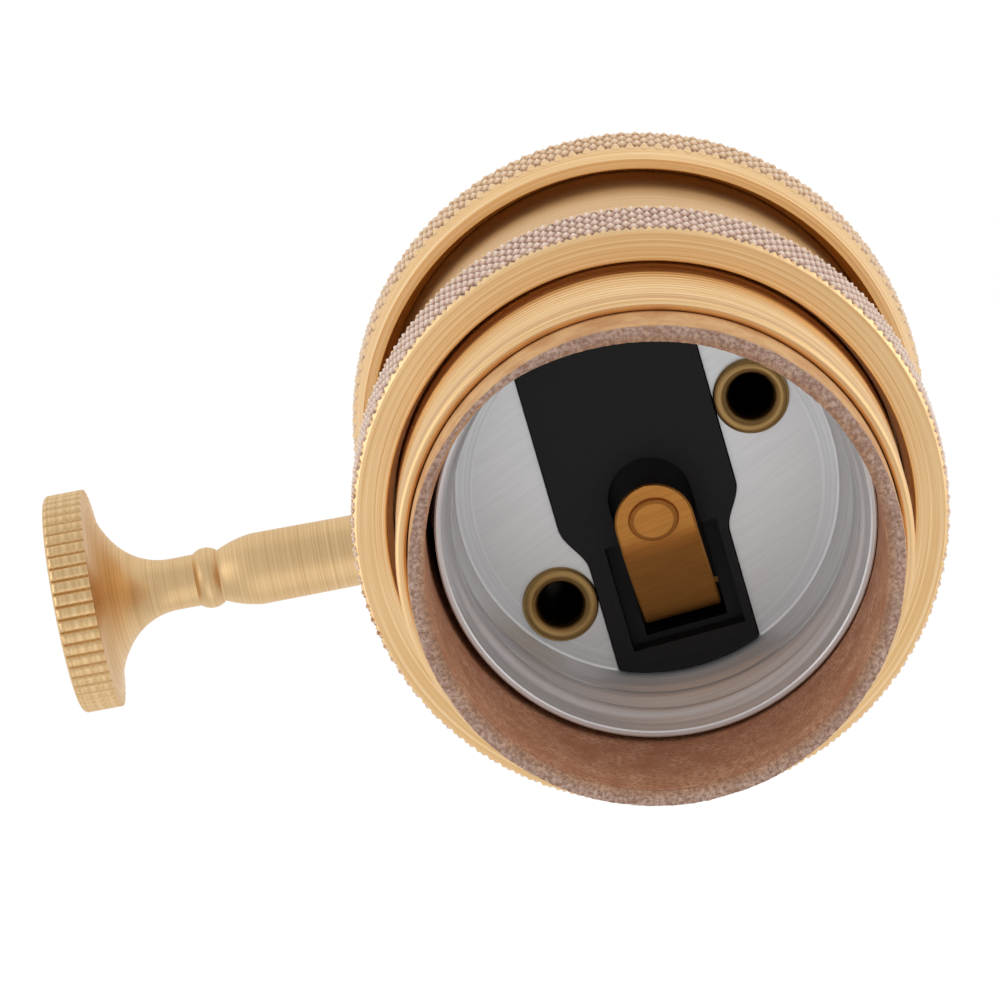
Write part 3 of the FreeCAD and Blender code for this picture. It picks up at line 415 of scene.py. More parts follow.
def vulcanised_fibre(name, rim, wall):
    """Hardened paper board. rim is the height of its sawn edge, wall the radius of its middle."""
    made, tree = new_finish(name)
    place = add(tree, "ShaderNodeTexCoord").outputs["Object"]
    level = add(tree, "ShaderNodeSeparateXYZ", {0: place}).outputs["Z"]
    radius = from_axis(tree)
    clouds = add(tree, "ShaderNodeTexNoise",
                 {"Vector": place, "Scale": 1 / (2.2 * MM), "Detail": 6.0, "Roughness": 0.65})
    fibres = add(tree, "ShaderNodeTexNoise",
                 {"Vector": place, "Scale": 1 / (0.28 * MM), "Detail": 5.0, "Roughness": 0.7})
    # a share goes from 0 to 1 while its value goes from the first number to the second
    share = {
        "clouds": (clouds, 0.35, 0.65),
        "fibres": (fibres, 0.38, 0.6),
        "outside": (radius, (wall - 0.2) * MM, (wall + 0.2) * MM),
        "grey cut": (radius, (wall - 0.3) * MM, (wall + 0.1) * MM),
        "rim": (level, (rim - 0.3) * MM, (rim - 0.05) * MM),
    }
    for key, (value, low, high) in share.items():
        share[key] = add(tree, "ShaderNodeMapRange", {"Value": value, "From Min": low, "From Max": high})
    # a cut that frays: beside the rim's edge only the coarser fibres are sawn
    frayed = add(tree, "ShaderNodeMath", {0: share["rim"], 1: share["fibres"], 2: -0.15},
                 operation="MULTIPLY_ADD")
    share["sawn"] = add(tree, "ShaderNodeMath", {0: frayed, 1: share["rim"]}, operation="ADD",
                        use_clamp=True)
    # each shade mixes two colours, or earlier shades, by a share
    shade = {}
    for key, by, below, above in (
            ("cloudy", "clouds", "#B87E5C", "#DDAE8C"),
            ("inside", "fibres", "#A87254", "cloudy"),
            ("outside", "clouds", "#C48E5C", "#E0B27C"),
            ("wall", "outside", "inside", "outside"),
            ("grey", "clouds", "#AE9080", "#C6A998"),
            ("brown", "clouds", "#A27A5E", "#BC9476"),
            ("cut", "grey cut", "brown", "grey"),
            ("specked", "fibres", "#7E5C4C", "cut"),
            ("board", "sawn", "wall", "specked")):
        mixed = {"Factor": share[by], "A": shade.get(below, below), "B": shade.get(above, above)}
        shade[key] = add(tree, "ShaderNodeMix", mixed, data_type="RGBA")
    close_finish(tree, shade["board"], fibres, 0.06, 0.8, {"Roughness": 0.7, "Specular IOR Level": 0.3})
    return made


LINER_MIDDLE = 14.5
FIBRE = vulcanised_fibre("vulcanised_fibre", MOUTH, LINER_MIDDLE)
print("fibre:", FIBRE.name, "with", len(FIBRE.node_tree.nodes), "nodes")

# %% [markdown]
# ### Moulded phenolic
#
# The base is phenolic resin, pressed hot in a steel mould. It is nearly black, with a dull
# gloss that shows a slight orange peel and no grain, because the filler stays under the skin.

# %% Phenolic
ORANGE_PEEL = 0.35


def moulded_phenolic(name):
    """Black resin whose peel is a shallow noise."""
    made, tree = new_finish(name)
    place = add(tree, "ShaderNodeTexCoord").outputs["Object"]
    peel = add(tree, "ShaderNodeTexNoise", {"Vector": place, "Scale": 1 / (ORANGE_PEEL * MM), "Detail": 3.0})
    colour = add(tree, "ShaderNodeMix", {"Factor": peel, "A": "#131415", "B": "#1B1C1E"}, data_type="RGBA")
    close_finish(tree, colour, peel, 0.01, 0.5, {"Roughness": 0.5, "Specular IOR Level": 0.25})
    return made


PHENOLIC = moulded_phenolic("moulded_phenolic")
print("phenolic:", PHENOLIC.name)

# %% [markdown]
# ## Sections
#
# Nearly everything here came off a lathe, so most shapes start as a half section, a line of
# corners given by radius and height. A real edge is never quite sharp, so one tool rounds
# the corners. It puts one more point just beyond each end of the arc, so that the flat faces
# beside it stay flat when they are shaded.

# %% Tools for sections
GUARD = 0.02


def rounded(corners, steps=3):
    """A section with its corners rounded. A corner is (radius, height) or (radius, height, rounding)."""
    line = []
    count = len(corners)
    for i, corner in enumerate(corners):
        here = Vector(corner[:2])
        size = corner[2] if len(corner) > 2 else 0
        if not size:
            line.append((here.x, here.y))
            continue
        back = (Vector(corners[i - 1][:2]) - here).normalized()
        ahead = (Vector(corners[(i + 1) % count][:2]) - here).normalized()
        half = back.angle(ahead) / 2
        reach = size / math.tan(half)
        centre = here + (back + ahead).normalized() * (size / math.sin(half))
        first, last = here + back * reach - centre, here + ahead * reach - centre
        sweep_angle = first.angle_signed(last)
        line.append(tuple(centre + first + back * GUARD))
        for step in range(steps + 1):
            spoke = first.copy()
            spoke.rotate(Matrix.Rotation(-sweep_angle * step / steps, 2))
            line.append((centre.x + spoke.x, centre.y + spoke.y))
        line.append(tuple(centre + last + ahead * GUARD))
    return line


def divided(start, end, step):
    """Points from one corner of a section to the next, at most step apart, without the last."""
    a, b = Vector(start), Vector(end)
    count = max(1, math.ceil((b - a).length / step))
    return [tuple(a.lerp(b, i / count)) for i in range(count)]


def arc(start, end, radius, steps):
    """Points of an arc from start to end that bulges to the right of the way it goes."""
    a, b = Vector(start), Vector(end)
    chord = b - a
    reach = math.sqrt(max(radius ** 2 - (chord.length / 2) ** 2, 0))
    centre = (a + b) / 2 + Vector((-chord.y, chord.x)).normalized() * reach
    first = math.atan2(a.y - centre.y, a.x - centre.x)
    sweep_angle = 2 * math.asin(min(1, chord.length / 2 / radius))
    return [(centre.x + radius * math.cos(first + sweep_angle * i / steps),
             centre.y + radius * math.sin(first + sweep_angle * i / steps)) for i in range(steps + 1)]


print("a rounded corner takes", len(rounded([(0, 0), (1, 0, 0.2), (1, 1)])) - 2, "points")

# %% [markdown]
# ## Skins and objects
#
# A section turned about the Z axis gives a skin of vertices and faces, and an outline raised
# between two levels gives another. One function makes an object from skins, one cuts tools
# out of it, and one puts it on its body and names the plain nodes that it stands for.

# %% Tools for skins


def turned(section, columns, relief=None, closed=False):
    """The skin of a half section turned about Z. relief(radius, height, angle) gives a new radius."""
    vertices, faces = [], []
    for radius, height in section:
        for column in range(columns):
            angle = TAU * column / columns
            reach = relief(radius, height, angle) if relief else radius
            vertices.append((reach * math.cos(angle), reach * math.sin(angle), height))
    rows = len(section)
    for row in range(rows if closed else rows - 1):
        low, high = row * columns, (row + 1) % rows * columns
        for column in range(columns):
            after = (column + 1) % columns
            faces.append((low + column, low + after, high + after, high + column))
    return vertices, faces


def extruded(outline, low, high):
    """A flat outline raised between two levels."""
    count = len(outline)
    vertices = [(x, y, level) for level in (low, high) for x, y in outline]
    faces = [tuple(range(count - 1, -1, -1)), tuple(range(count, 2 * count))]
    for i in range(count):
        after = (i + 1) % count
        faces.append((i, after, count + after, count + i))
    return vertices, faces


print("a raised square has", len(extruded([(0, 0), (1, 0), (1, 1), (0, 1)], 0, 1)[1]), "faces")

# %% Tools for objects
SHARP = math.radians(32)


def smooth(mesh):
    """Shade a mesh smooth, with its sharp edges left crisp."""
    mesh.shade_smooth()
    mesh.set_sharp_from_angle(angle=SHARP)


def make_object(name, skins, finishes=()):
    """One mesh object from skins drawn in millimetres. Each skin has the finish of the same place."""
    mesh = bpy.data.meshes.new(name)
    build = bmesh.new()
    for number, (vertices, faces) in enumerate(skins):
        made = [build.verts.new(Vector(v) * MM) for v in vertices]
        for face in faces:
            skin_face = build.faces.new([made[i] for i in face])
            skin_face.material_index = max(0, min(number, len(finishes) - 1))
    bmesh.ops.remove_doubles(build, verts=build.verts, dist=0.0005 * MM)
    bmesh.ops.dissolve_degenerate(build, edges=build.edges, dist=0.0002 * MM)
    build.to_mesh(mesh)
    build.free()
    for finish in finishes:
        mesh.materials.append(finish)
    smooth(mesh)
    made = bpy.data.objects.new(name, mesh)
    bpy.context.scene.collection.objects.link(made)
    return made


def settle(piece):
    """Turn a piece's modifiers into its mesh."""
    shape = bpy.context.evaluated_depsgraph_get()
    settled = bpy.data.meshes.new_from_object(piece.evaluated_get(shape))
    piece.modifiers.clear()
    piece.data = settled
    smooth(settled)


def carve(piece, *tools, operation="DIFFERENCE"):
    """Cut the tool objects out of a piece, or join them to it, and throw the tools away."""
    for tool in tools:
        step = piece.modifiers.new("carve", "BOOLEAN")
        step.operation = operation
        step.solver = "EXACT"
        step.object = tool
    settle(piece)
    for tool in tools:
        bpy.data.objects.remove(tool)


def rod(name, radius, start, end, x=0.0, y=0.0):
    """A plain round bar along Z, for cutting holes."""
    bar = make_object(name, [turned([(0, start), (radius, start), (radius, end), (0, end)], 48)])
    bar.location = Vector((x, y, 0)) * MM
    return bar


def stand_for(piece, body, node):
    """Put a finished piece on its body, in place of a plain node, and say what it did."""
    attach(piece, body)
    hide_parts(node)
    print(piece.name, "has", len(piece.data.polygons), "faces")


print("edges over", round(math.degrees(SHARP)), "degrees stay crisp")

# %% [markdown]
# ## The knurl
#
# Both rims are knurled: a pair of toothed wheels was pressed into the turning brass and left
# rows of small pyramids. The two families of grooves lean 30 degrees each way from the axis,
# and the teeth are about 0.93 mm apart. A knurl isn't drawn by bump, because its teeth show
# in the outline. The grid has a whole number of columns for each tooth, so that tips and
# grooves fall on grid points, and the chamfers simply cut the teeth down. The wheels never
# press quite evenly, so slow noise makes some grooves shallower.

# %% Knurl
TEETH = 124
KNURL_LEAN = math.radians(30)
KNURL_DEPTH = 0.33
TIP_WEAR = 0.14
UNEVEN = 0.35
UNEVEN_SCALE = 1.3


def knurl_cut(radius, height, angle):
    """How far the grooves go below the rim's full radius at this place."""
    around = angle * TEETH / TAU
    pitch = TAU * radius / TEETH / math.tan(KNURL_LEAN)
    along = height / pitch
    nearest = max(abs(((around + along) % 1) - 0.5), abs(((around - along) % 1) - 0.5)) * 2
    return KNURL_DEPTH * max(0.0, nearest - TIP_WEAR) / (1 - TIP_WEAR)


def knurled_relief(full, low, high):
    """Relief that knurls the part of a rim whose radius is near full, between two heights."""
    def relief(radius, height, angle):
        if low < height < high and radius > full - KNURL_DEPTH - 0.4:
            place = Vector((full * math.cos(angle), full * math.sin(angle), height))
            wear = 1 + UNEVEN * noise.noise(place * UNEVEN_SCALE)
            return min(radius, full - knurl_cut(full, height, angle) * wear)
        return radius
    return relief


print("teeth", TEETH, "pitch", round(TAU * RING_FULL / TEETH, 3), "mm")

# %% [markdown]
# ## Fine teeth on a coarse ring
#
# The teeth need a fine grid and the rest of a rim doesn't, so a seam of triangles joins a
# coarse ring of points to a fine one. The knurled band itself is three skins: the teeth, the
# bevel below them and the bevel above them.

# %% Seam and knurled band
COARSE = TEETH * 2
FINE = TEETH * 8
ROW = math.pi * RING_FULL / TEETH / math.tan(KNURL_LEAN) / 4
FINE_STEP = 0.1


def seam(coarse_corner, coarse, fine_corner, fine, fine_is_next=True):
    """Triangles between a ring of few points and a ring of many. Corners are (radius, height)."""
    vertices = []
    for (radius, height), count in ((coarse_corner, coarse), (fine_corner, fine)):
        for column in range(count):
            angle = TAU * column / count
            vertices.append((radius * math.cos(angle), radius * math.sin(angle), height))
    each = fine // coarse
    faces = []
    for column in range(coarse):
        after = (column + 1) % coarse
        for step in range(each):
            low = coarse + column * each + step
            high = coarse + (column * each + step + 1) % fine
            faces.append((column if step < each // 2 else after, high, low))
        faces.append((column, after, coarse + column * each + each // 2))
    if not fine_is_next:
        faces = [tuple(reversed(face)) for face in faces]
    return vertices, faces


def knurled_band(full, foot, low, high, head):
    """The skins of a knurled band between two levels, with bevels down to foot and up to head."""
    below = divided(foot, (full, low), FINE_STEP)
    band = divided((full, low), (full, high), ROW)
    above = divided((full, high), head, FINE_STEP) + [head]
    relief = knurled_relief(full, foot[1], head[1])
    return [turned(part, FINE, relief) for part in (band + above[:1], below + band[:1], above)]


print("columns:", COARSE, "coarse and", FINE, "fine")

# %% [markdown]
# ## The shade ring
#
# The shade ring screws on the collar and clamps a lamp shade. Its outside is knurled and its
# front has a recess round the collar. The recess has a paler, partly metallic brass: painted
# light that lifts its shade.

# %% Shade ring
RING_FACE = 18.0
RING_FLAT = RING_FACE - 0.25
RING_RECESS = 16.33
RING_RECESS_DEPTH = 1.8
RING_THREAD = 15.95
RING_EDGE = 18.2
CHAMFER = 0.5
FRONT_CHAMFER = 0.3

foot, head = (RING_FACE, RING_LOW), (RING_EDGE, RING_TOP)
teeth = knurled_band(RING_FULL, foot, RING_LOW + CHAMFER, RING_TOP - FRONT_CHAMFER, head)
face = rounded([
    (RING_FLAT, RING_TOP),
    (RING_RECESS, RING_TOP, 0.12),
    (RING_RECESS, RING_TOP - 0.5),
])
recess = [
    face[-1],
    (RING_RECESS, RING_TOP - RING_RECESS_DEPTH),
    (RING_THREAD, RING_TOP - RING_RECESS_DEPTH - 0.45),
    (RING_THREAD, RING_LOW),
]
back = [recess[-1], (RING_FLAT, RING_LOW)]
front = seam(face[0], COARSE, head, FINE, fine_is_next=False)
rear = seam(back[-1], COARSE, foot, FINE)
plain = [turned(part, COARSE) for part in (face, back)]
skins = [teeth[0], turned(recess, COARSE), *teeth[1:], *plain, front, rear]
# the recess's wall and bore take the paler brass, painted light that lifts their shade
shade_ring = make_object("shade_ring_knurled", skins, [RING_KNURL, RECESS_LIT_BRASS, BRASS])
stand_for(shade_ring, "ring", "shade_ring")

# %% [markdown]
# ## Threads
#
# A thread is a true right-handed helix: going once round, the wave of its section moves up
# by one pitch. At both ends it fades out, as it does where a thread tool is drawn back.

# %% Threads


def helix_wave(height, angle, pitch):
    """From 0 at a crest to 1 at a root of a right-handed thread."""
    return 0.5 - 0.5 * math.cos(TAU * height / pitch - angle)


def fade(value, start, end, run):
    """0 outside start to end, 1 inside, with a soft run at both ends."""
    return max(0.0, min(1.0, (value - start) / run, (end - value) / run))


print("half a pitch up, the wave is at", helix_wave(0.5, 0.0, 1.0))

# %% [markdown]
# ## The cap
#
# The cap closes the back: a knurled rim like the ring's, a domed shoulder, and a neck with a
# pipe thread inside. The flat of the rim has two fine grooves from the tool.

# %% Cap
RIM_FACE = 18.0
RIM_CHAMFER = 1.7
RIM_KNURL = 4.0
RIM_GAP = 17.35
RIM_GAP_DEPTH = 2.5
GROOVE = 0.03
GROOVE_STEP = 0.12
CAP_BORE = 16.55
LEDGE = 15.2
LEDGE_LEVEL = 15.8
FUNNEL_TOP = 14.0
FUNNEL_END = 6.0
SHOULDER_RADIUS = 17.3
SHOULDER_BASE = 6.5
SHOULDER_TOP = 16.1
SHOULDER_ARC = 10.5
NECK_RADIUS = 8.5
NECK_BEAD = 9.9
NECK_ARC = 1.15
ENTRY_RADIUS = 4.5
ENTRY_LENGTH = 8.8
ENTRY_START = 0.3
PIPE_PITCH = 1.0
PIPE_DEPTH = 0.4
GRUB_HOLE = 1.55
GRUB_LEVEL = 3.4


def cap_relief(radius, height, angle):
    """The pipe thread in the neck."""
    if radius < ENTRY_RADIUS + 0.01 and 0.1 < height < ENTRY_LENGTH:
        wave = helix_wave(height, angle, PIPE_PITCH)
        return radius + PIPE_DEPTH * wave * fade(height, ENTRY_START, ENTRY_LENGTH, 0.5)
    return radius


knurl_top = RIM_TOP - RIM_CHAMFER
knurl_low = knurl_top - RIM_KNURL
foot, head = (RIM_FACE - 0.1, knurl_low - CHAMFER), (RIM_FACE, RIM_TOP)
teeth = knurled_band(RIM_FULL, foot, knurl_low, knurl_top, head)
section = [(RIM_FACE - GROOVE_STEP * i, RIM_TOP - GROOVE * (i % 2)) for i in range(1, 5)]
section += rounded([
    (RIM_FACE - 0.5, RIM_TOP),
    (RIM_GAP, RIM_TOP, 0.08),
    (RIM_GAP, RIM_TOP - RIM_GAP_DEPTH),
    (CAP_BORE, RIM_TOP - RIM_GAP_DEPTH - 0.8),
    (CAP_BORE, SHELL_BASE),
    (LEDGE, SHELL_BASE),
    (LEDGE, LEDGE_LEVEL),
    (FUNNEL_TOP, LEDGE_LEVEL),
    (FUNNEL_END, ENTRY_LENGTH),
    (ENTRY_RADIUS, ENTRY_LENGTH),
])[1:]
section += divided((ENTRY_RADIUS, ENTRY_LENGTH - 0.1), (ENTRY_RADIUS, ENTRY_START), PIPE_PITCH / 8)
section += [(ENTRY_RADIUS, ENTRY_START), (ENTRY_RADIUS + 0.4, 0)]
neck_top = (NECK_RADIUS, SHOULDER_BASE - 1.6)
section += rounded([(ENTRY_RADIUS + 0.5, 0), (NECK_RADIUS, 0, 0.35), neck_top])[1:]
section += arc(neck_top, (NECK_BEAD, SHOULDER_BASE - 0.4), NECK_ARC, 8)
section += arc((NECK_BEAD - 0.1, SHOULDER_BASE), (SHOULDER_RADIUS, SHOULDER_TOP), SHOULDER_ARC, 22)
section += [(SHOULDER_RADIUS, knurl_low - CHAMFER)]
inside = turned(section, COARSE, cap_relief)
front = seam(section[0], COARSE, head, FINE, fine_is_next=False)
rear = seam(section[-1], COARSE, foot, FINE)
cap = make_object("cap_knurled", [*teeth, inside, front, rear], [RIM_KNURL_BRASS, BRASS])
grub_tool = rod("grub_tool", GRUB_HOLE, -10, -3)
onto_x = Matrix.Rotation(TAU / 4, 4, "Y")
grub_tool.matrix_world = Matrix.Translation(Vector((0, 0, GRUB_LEVEL)) * MM) @ onto_x
carve(cap, grub_tool)
stand_for(cap, "housing", "cap")

# %% [markdown]
# ## The front shell
#
# A thin brass tube. Its body shows as a band between the two rims and has a hole for the
# knob's stem. Its collar has a fine right-handed thread of 0.7 mm pitch, whose crests catch
# the light as thin lines.

# %% Front shell
BORE = 15.1
COLLAR = 15.8
BODY = 16.5
RING_SEAT = 39.7
COLLAR_PITCH = 0.7
COLLAR_DEPTH = 0.13
COLLAR_RUN_OUT = 2.5
SHELL_COLUMNS = 360
STEM_HOLE = 2.7


def collar_relief(radius, height, angle):
    """The collar's thread, which fades out above the ring's seat and below the top."""
    if abs(radius - COLLAR) < 0.01 and height > RING_SEAT:
        wave = helix_wave(height, angle, COLLAR_PITCH)
        share = fade(height, RING_SEAT + 0.3, COLLAR_TOP - 0.6, COLLAR_RUN_OUT)
        return radius - COLLAR_DEPTH * wave * share
    return radius


section = rounded([
    (BORE, SHELL_BASE),
    (BODY - 0.4, SHELL_BASE),
    (BODY, SHELL_BASE + 0.4),
    (BODY, RING_SEAT, 0.1),
    (COLLAR + 0.02, RING_SEAT),
])
section += divided((COLLAR, RING_SEAT + 0.1), (COLLAR, COLLAR_TOP - 0.4), COLLAR_PITCH / 7)
section += rounded([
    (COLLAR, COLLAR_TOP - 0.4),
    (COLLAR, COLLAR_TOP, 0.3),
    (BORE, COLLAR_TOP, 0.22),
    (BORE, COLLAR_TOP - 1),
])[1:]
skin = turned(section, SHELL_COLUMNS, collar_relief, closed=True)
front_shell = make_object("front_shell_threaded", [skin], [BRASS])
ALONG_X = Matrix.Translation(Vector((0, SHAFT_SIDE, AXLE)) * MM) @ onto_x
stem_tool = rod("stem_tool", STEM_HOLE, 10, 20)
stem_tool.matrix_world = ALONG_X
carve(front_shell, stem_tool)
stand_for(front_shell, "housing", "front_shell")

# %% [markdown]
# ## The fibre liner
#
# A tube of hardened paper keeps the live thread from the brass. It was sawn to length, so
# its rim isn't level: slow noise moves it up and down a little and quick noise frays it. On
# one side the inside of the rim is worn down to less than half the wall.

# %% Fibre liner
LINER_OUT = 15.03
LINER_IN = 13.95
LINER_COLUMNS = 720
FRAY = 0.16
FRAY_BAND = 1.2
WORN = 0.75
WORN_BAND = 3
WORN_ANGLE = math.radians(-50)
WORN_SPREAD = math.radians(28)

section = [(LINER_IN, LINER_BASE), (LINER_OUT, LINER_BASE)]
section += divided((LINER_OUT, LINER_BASE + 1), (LINER_OUT, MOUTH - FRAY_BAND), 8)
section += divided((LINER_OUT, MOUTH - FRAY_BAND), (LINER_OUT, MOUTH - 0.1), 0.2)
section += divided((LINER_OUT - 0.08, MOUTH), (LINER_IN + 0.12, MOUTH), 0.12)
section += divided((LINER_IN + 0.05, MOUTH - 0.05), (LINER_IN, MOUTH - FRAY_BAND), 0.2)
section += divided((LINER_IN, MOUTH - FRAY_BAND), (LINER_IN, LINER_BASE + 1), 8)
vertices, faces = turned(section, LINER_COLUMNS, closed=True)


def frayed(point):
    """Move a point near the sawn rim up or down, and in or out, by noise, and thin the worn side."""
    x, y, z = point
    share = max(0.0, min(1.0, (z - (MOUTH - FRAY_BAND)) / FRAY_BAND))
    here = Vector(point)
    slow = noise.noise(here * 0.35)
    quick = noise.noise(here * 3.5) * 0.6 + noise.noise(here * 7.5) * 0.4
    radius = math.hypot(x, y)
    spread = 1 + (0.3 * slow + 0.4 * quick) * FRAY * share / radius
    aside = (math.atan2(y, x) - WORN_ANGLE + math.pi) % TAU - math.pi
    reach = max(0.0, min(1.0, (z - (MOUTH - WORN_BAND)) / WORN_BAND))
    worn = WORN * math.exp(-(aside / WORN_SPREAD) ** 2) * reach
    spread += worn * (LINER_OUT - radius) / (LINER_OUT - LINER_IN) / radius
    return x * spread, y * spread, z + (0.35 * slow + 0.45 * quick - 0.35) * FRAY * share ** 3


liner_skin = ([frayed(point) for point in vertices], faces)
fibre_liner = make_object("fibre_liner_sawn", [liner_skin], [FIBRE])
print("liner worn by up to", WORN, "mm")

# %% Notch for the knob's stem
NOTCH = 3.2
notch = [(LINER_BASE - 1, SHAFT_SIDE - NOTCH), (AXLE, SHAFT_SIDE - NOTCH)]
notch += [(AXLE + NOTCH * math.sin(a), SHAFT_SIDE - NOTCH * math.cos(a))
          for a in (math.pi * i / 16 for i in range(1, 16))]
notch += [(AXLE, SHAFT_SIDE + NOTCH), (LINER_BASE - 1, SHAFT_SIDE + NOTCH)]
notch_tool = make_object("notch_tool", [extruded(notch, -17, -10)])
notch_tool.matrix_world = Matrix.Rotation(-TAU / 4, 4, "Y")
carve(fibre_liner, notch_tool)
stand_for(fibre_liner, "housing", "fibre_liner")

# %% [markdown]
# ## The phenolic base's plan
#
# The base is turned 5 degrees from the knob. Its bridge is wide beside one eyelet and narrow
# beside the other, with a soft step between. The bridge shows in three pieces: it stands up
# as phenolic, it is a window in the aluminium plate, and the eyelets sit on both sides of it.

# %% Plan of the base
BASE_TURN = Matrix.Rotation(math.radians(5), 4, "Z")
BRIDGE_WIDE = 5.72
BRIDGE_NARROW = 4.5
BRIDGE_SHIFT = 0.33
BRIDGE_REACH = 12.0
STEP_START = 1.1
STEP_END = 4.2
EYELET_SPOTS = [(7.29, 5.81), (-7.85, -3.94)]
EYELET_BORE = 1.85


def bridge_side(along, gap):
    """Half the bridge's width at this place along it."""
    share = max(0.0, min(1.0, (along - STEP_START) / (STEP_END - STEP_START)))
    return BRIDGE_WIDE + gap - (BRIDGE_WIDE - BRIDGE_NARROW) * (0.5 - 0.5 * math.cos(math.pi * share))


def bridge_outline(gap, reach):
    """The bridge's outline, wider by gap, cut off by a circle of radius reach."""
    steps = [STEP_START + (STEP_END - STEP_START) * i / 12 for i in range(13)]
    outline = []
    for side in (1, -1):
        ends = []
        for end in (-1, 1):
            across = BRIDGE_SHIFT + side * bridge_side(end * reach, gap)
            ends.append(end * math.sqrt(reach ** 2 - across ** 2))
        line = [ends[0], *steps, ends[1]]
        points = [(BRIDGE_SHIFT + side * bridge_side(v, gap), v) for v in line]
        outline.append(points if side == 1 else points[::-1])
    right, left = outline
    joined = list(right)
    for start, stop, after in ((right[-1], left[0], left), (left[-1], right[0], [])):
        first = math.atan2(start[1], start[0]) % TAU
        last = math.atan2(stop[1], stop[0]) % TAU
        joined += [(reach * math.cos(a), reach * math.sin(a))
                   for a in (first + (last - first) * i / 16 for i in range(1, 16))]
        joined += after
    return joined


def on_base(name, outline, low, high, finishes=()):
    """An outline of the base's plan, raised between two levels and turned as the base is."""
    made = make_object(name, [extruded(outline, low, high)], finishes)
    made.matrix_world = BASE_TURN
    return made


def eyelet_bores(low, high):
    """Bars that cut the holes for the two eyelets."""
    return [rod(f"bore_{i}", EYELET_BORE, low, high, spot.x, spot.y) for i, spot in enumerate(EYELETS)]


EYELETS = [BASE_TURN @ Vector((across, along, 0)) for across, along in EYELET_SPOTS]
print("eyelets at", [tuple(round(c, 2) for c in spot) for spot in EYELETS])

# %% [markdown]
# ## The screw shell
#
# Aluminium sheet, spun into a cup with the lamp's thread rolled into its wall: 7 threads to
# the inch, which is 3.629 mm. The wall and the plate at its bottom are one sheet 0.4 mm
# thick, so the section goes down the inside and back up the outside. Its lip stands a quarter
# of a millimetre off centre, so the dark gap to the liner is wider on one side. The plate is
# a skin of its own, because its brushed lines are straight.

# %% Section of the screw shell
SHEET = 0.4
CREST = 12.48
ROOT = 13.3
LAMP_PITCH = 25.4 / 7
LIP_RADIUS = 13.25
LIP_SHIFT = Vector((-0.25, -0.03))
PLATE_RADIUS = 12.1
PLATE_EDGE = 11.0
PLATE_TOP = PLATE_BASE + SHEET
THREAD_TOP = LIP - 1.2
THREAD_LOW = PLATE_TOP + 1.6
FIRST_CREST = LIP - 2.3
CREST_ANGLE = TAU / 4
WALL_ROWS = 60


def wall_radius(height):
    """The wall without its thread: a straight tube, a flare at the lip and a curve at the plate."""
    middle = (CREST + ROOT) / 2
    flare = max(0.0, (height - THREAD_TOP) / (LIP - THREAD_TOP))
    foot = max(0.0, (THREAD_LOW - height) / (THREAD_LOW - PLATE_TOP))
    return middle + (LIP_RADIUS - middle) * flare ** 0.7 - (middle - PLATE_RADIUS) * foot ** 1.5


def lamp_thread(radius, height, angle):
    """The rolled thread, and the lean that takes the lip off centre."""
    if radius < PLATE_EDGE + 0.5 or height < PLATE_TOP + 0.2:
        return radius
    swing = (ROOT - CREST) / 2 * fade(height, THREAD_LOW - 0.6, THREAD_TOP + 0.5, 1.2)
    wave = helix_wave(height - FIRST_CREST, angle - CREST_ANGLE, LAMP_PITCH)
    lean = LIP_SHIFT.x * math.cos(angle) + LIP_SHIFT.y * math.sin(angle)
    return radius + swing * (2 * wave - 1) + lean * max(0.0, (height - PLATE_TOP) / (LIP - PLATE_TOP))


levels = [LIP - (LIP - PLATE_TOP - 0.4) * i / WALL_ROWS for i in range(WALL_ROWS + 1)]
inner_wall = [(wall_radius(z), z) for z in levels]
outer_wall = [(r + SHEET, z) for r, z in reversed(inner_wall)]
outer_foot = [(PLATE_EDGE + 0.2, PLATE_BASE), (PLATE_RADIUS + SHEET, PLATE_BASE, 0.5), outer_wall[0]]
inner_foot = [inner_wall[-1], (PLATE_RADIUS, PLATE_TOP, 0.25), (PLATE_EDGE + 0.2, PLATE_TOP)]
section = [(0, PLATE_BASE), (PLATE_EDGE, PLATE_BASE)] + rounded(outer_foot)[1:-1] + outer_wall
section += [(LIP_RADIUS + SHEET * share, LIP + 0.08) for share in (0.75, 0.25)]
section += inner_wall + rounded(inner_foot)[1:-1]
plate_section = [(PLATE_EDGE, PLATE_TOP), (0, PLATE_TOP)]
print("wall section with", len(section), "points")

# %% Screw shell
SPUN_COLUMNS = 256
WINDOW_GAP = 0.1
WINDOW_REACH = 12.05

wall = turned(section + plate_section[:1], SPUN_COLUMNS, lamp_thread)
plate = turned(plate_section, SPUN_COLUMNS)
screw_shell = make_object("screw_shell_rolled", [wall, plate], [ALUMINIUM, PLATE_ALUMINIUM])
window = on_base("window_tool", bridge_outline(WINDOW_GAP, WINDOW_REACH), PLATE_BASE - 1, PLATE_TOP + 1)
carve(screw_shell, window, *eyelet_bores(PLATE_BASE - 1, PLATE_TOP + 1))
stand_for(screw_shell, "housing", "screw_shell")

# %% [markdown]
# ## The front block
#
# A moulding is drawn from its mould, and its edges come out slightly round. So the disc and
# the bridge are joined, the slot, the well and the recess between its cheeks are cut, and a
# bevel rounds what is left.

# %% Front block
BLOCK_RADIUS = 13.5
SLOT = 2.65
SLOT_CENTRE = 0.6
SLOT_END = 9.6
SLOT_DEPTH = 2.0
WELL_START = 7.2
CHEEK = 3.65
CHEEK_START = 3.0
CHEEK_END = 10.0
CHEEK_DEPTH = 1.5
CHAMBER = 3.3
JOURNAL = 1.3
SOFT_EDGE = 0.14


def oblong(half, start, end):
    """A rectangle of the base's plan, this far to each side of its middle line."""
    return [(-half, start), (half, start), (half, end), (-half, end)]


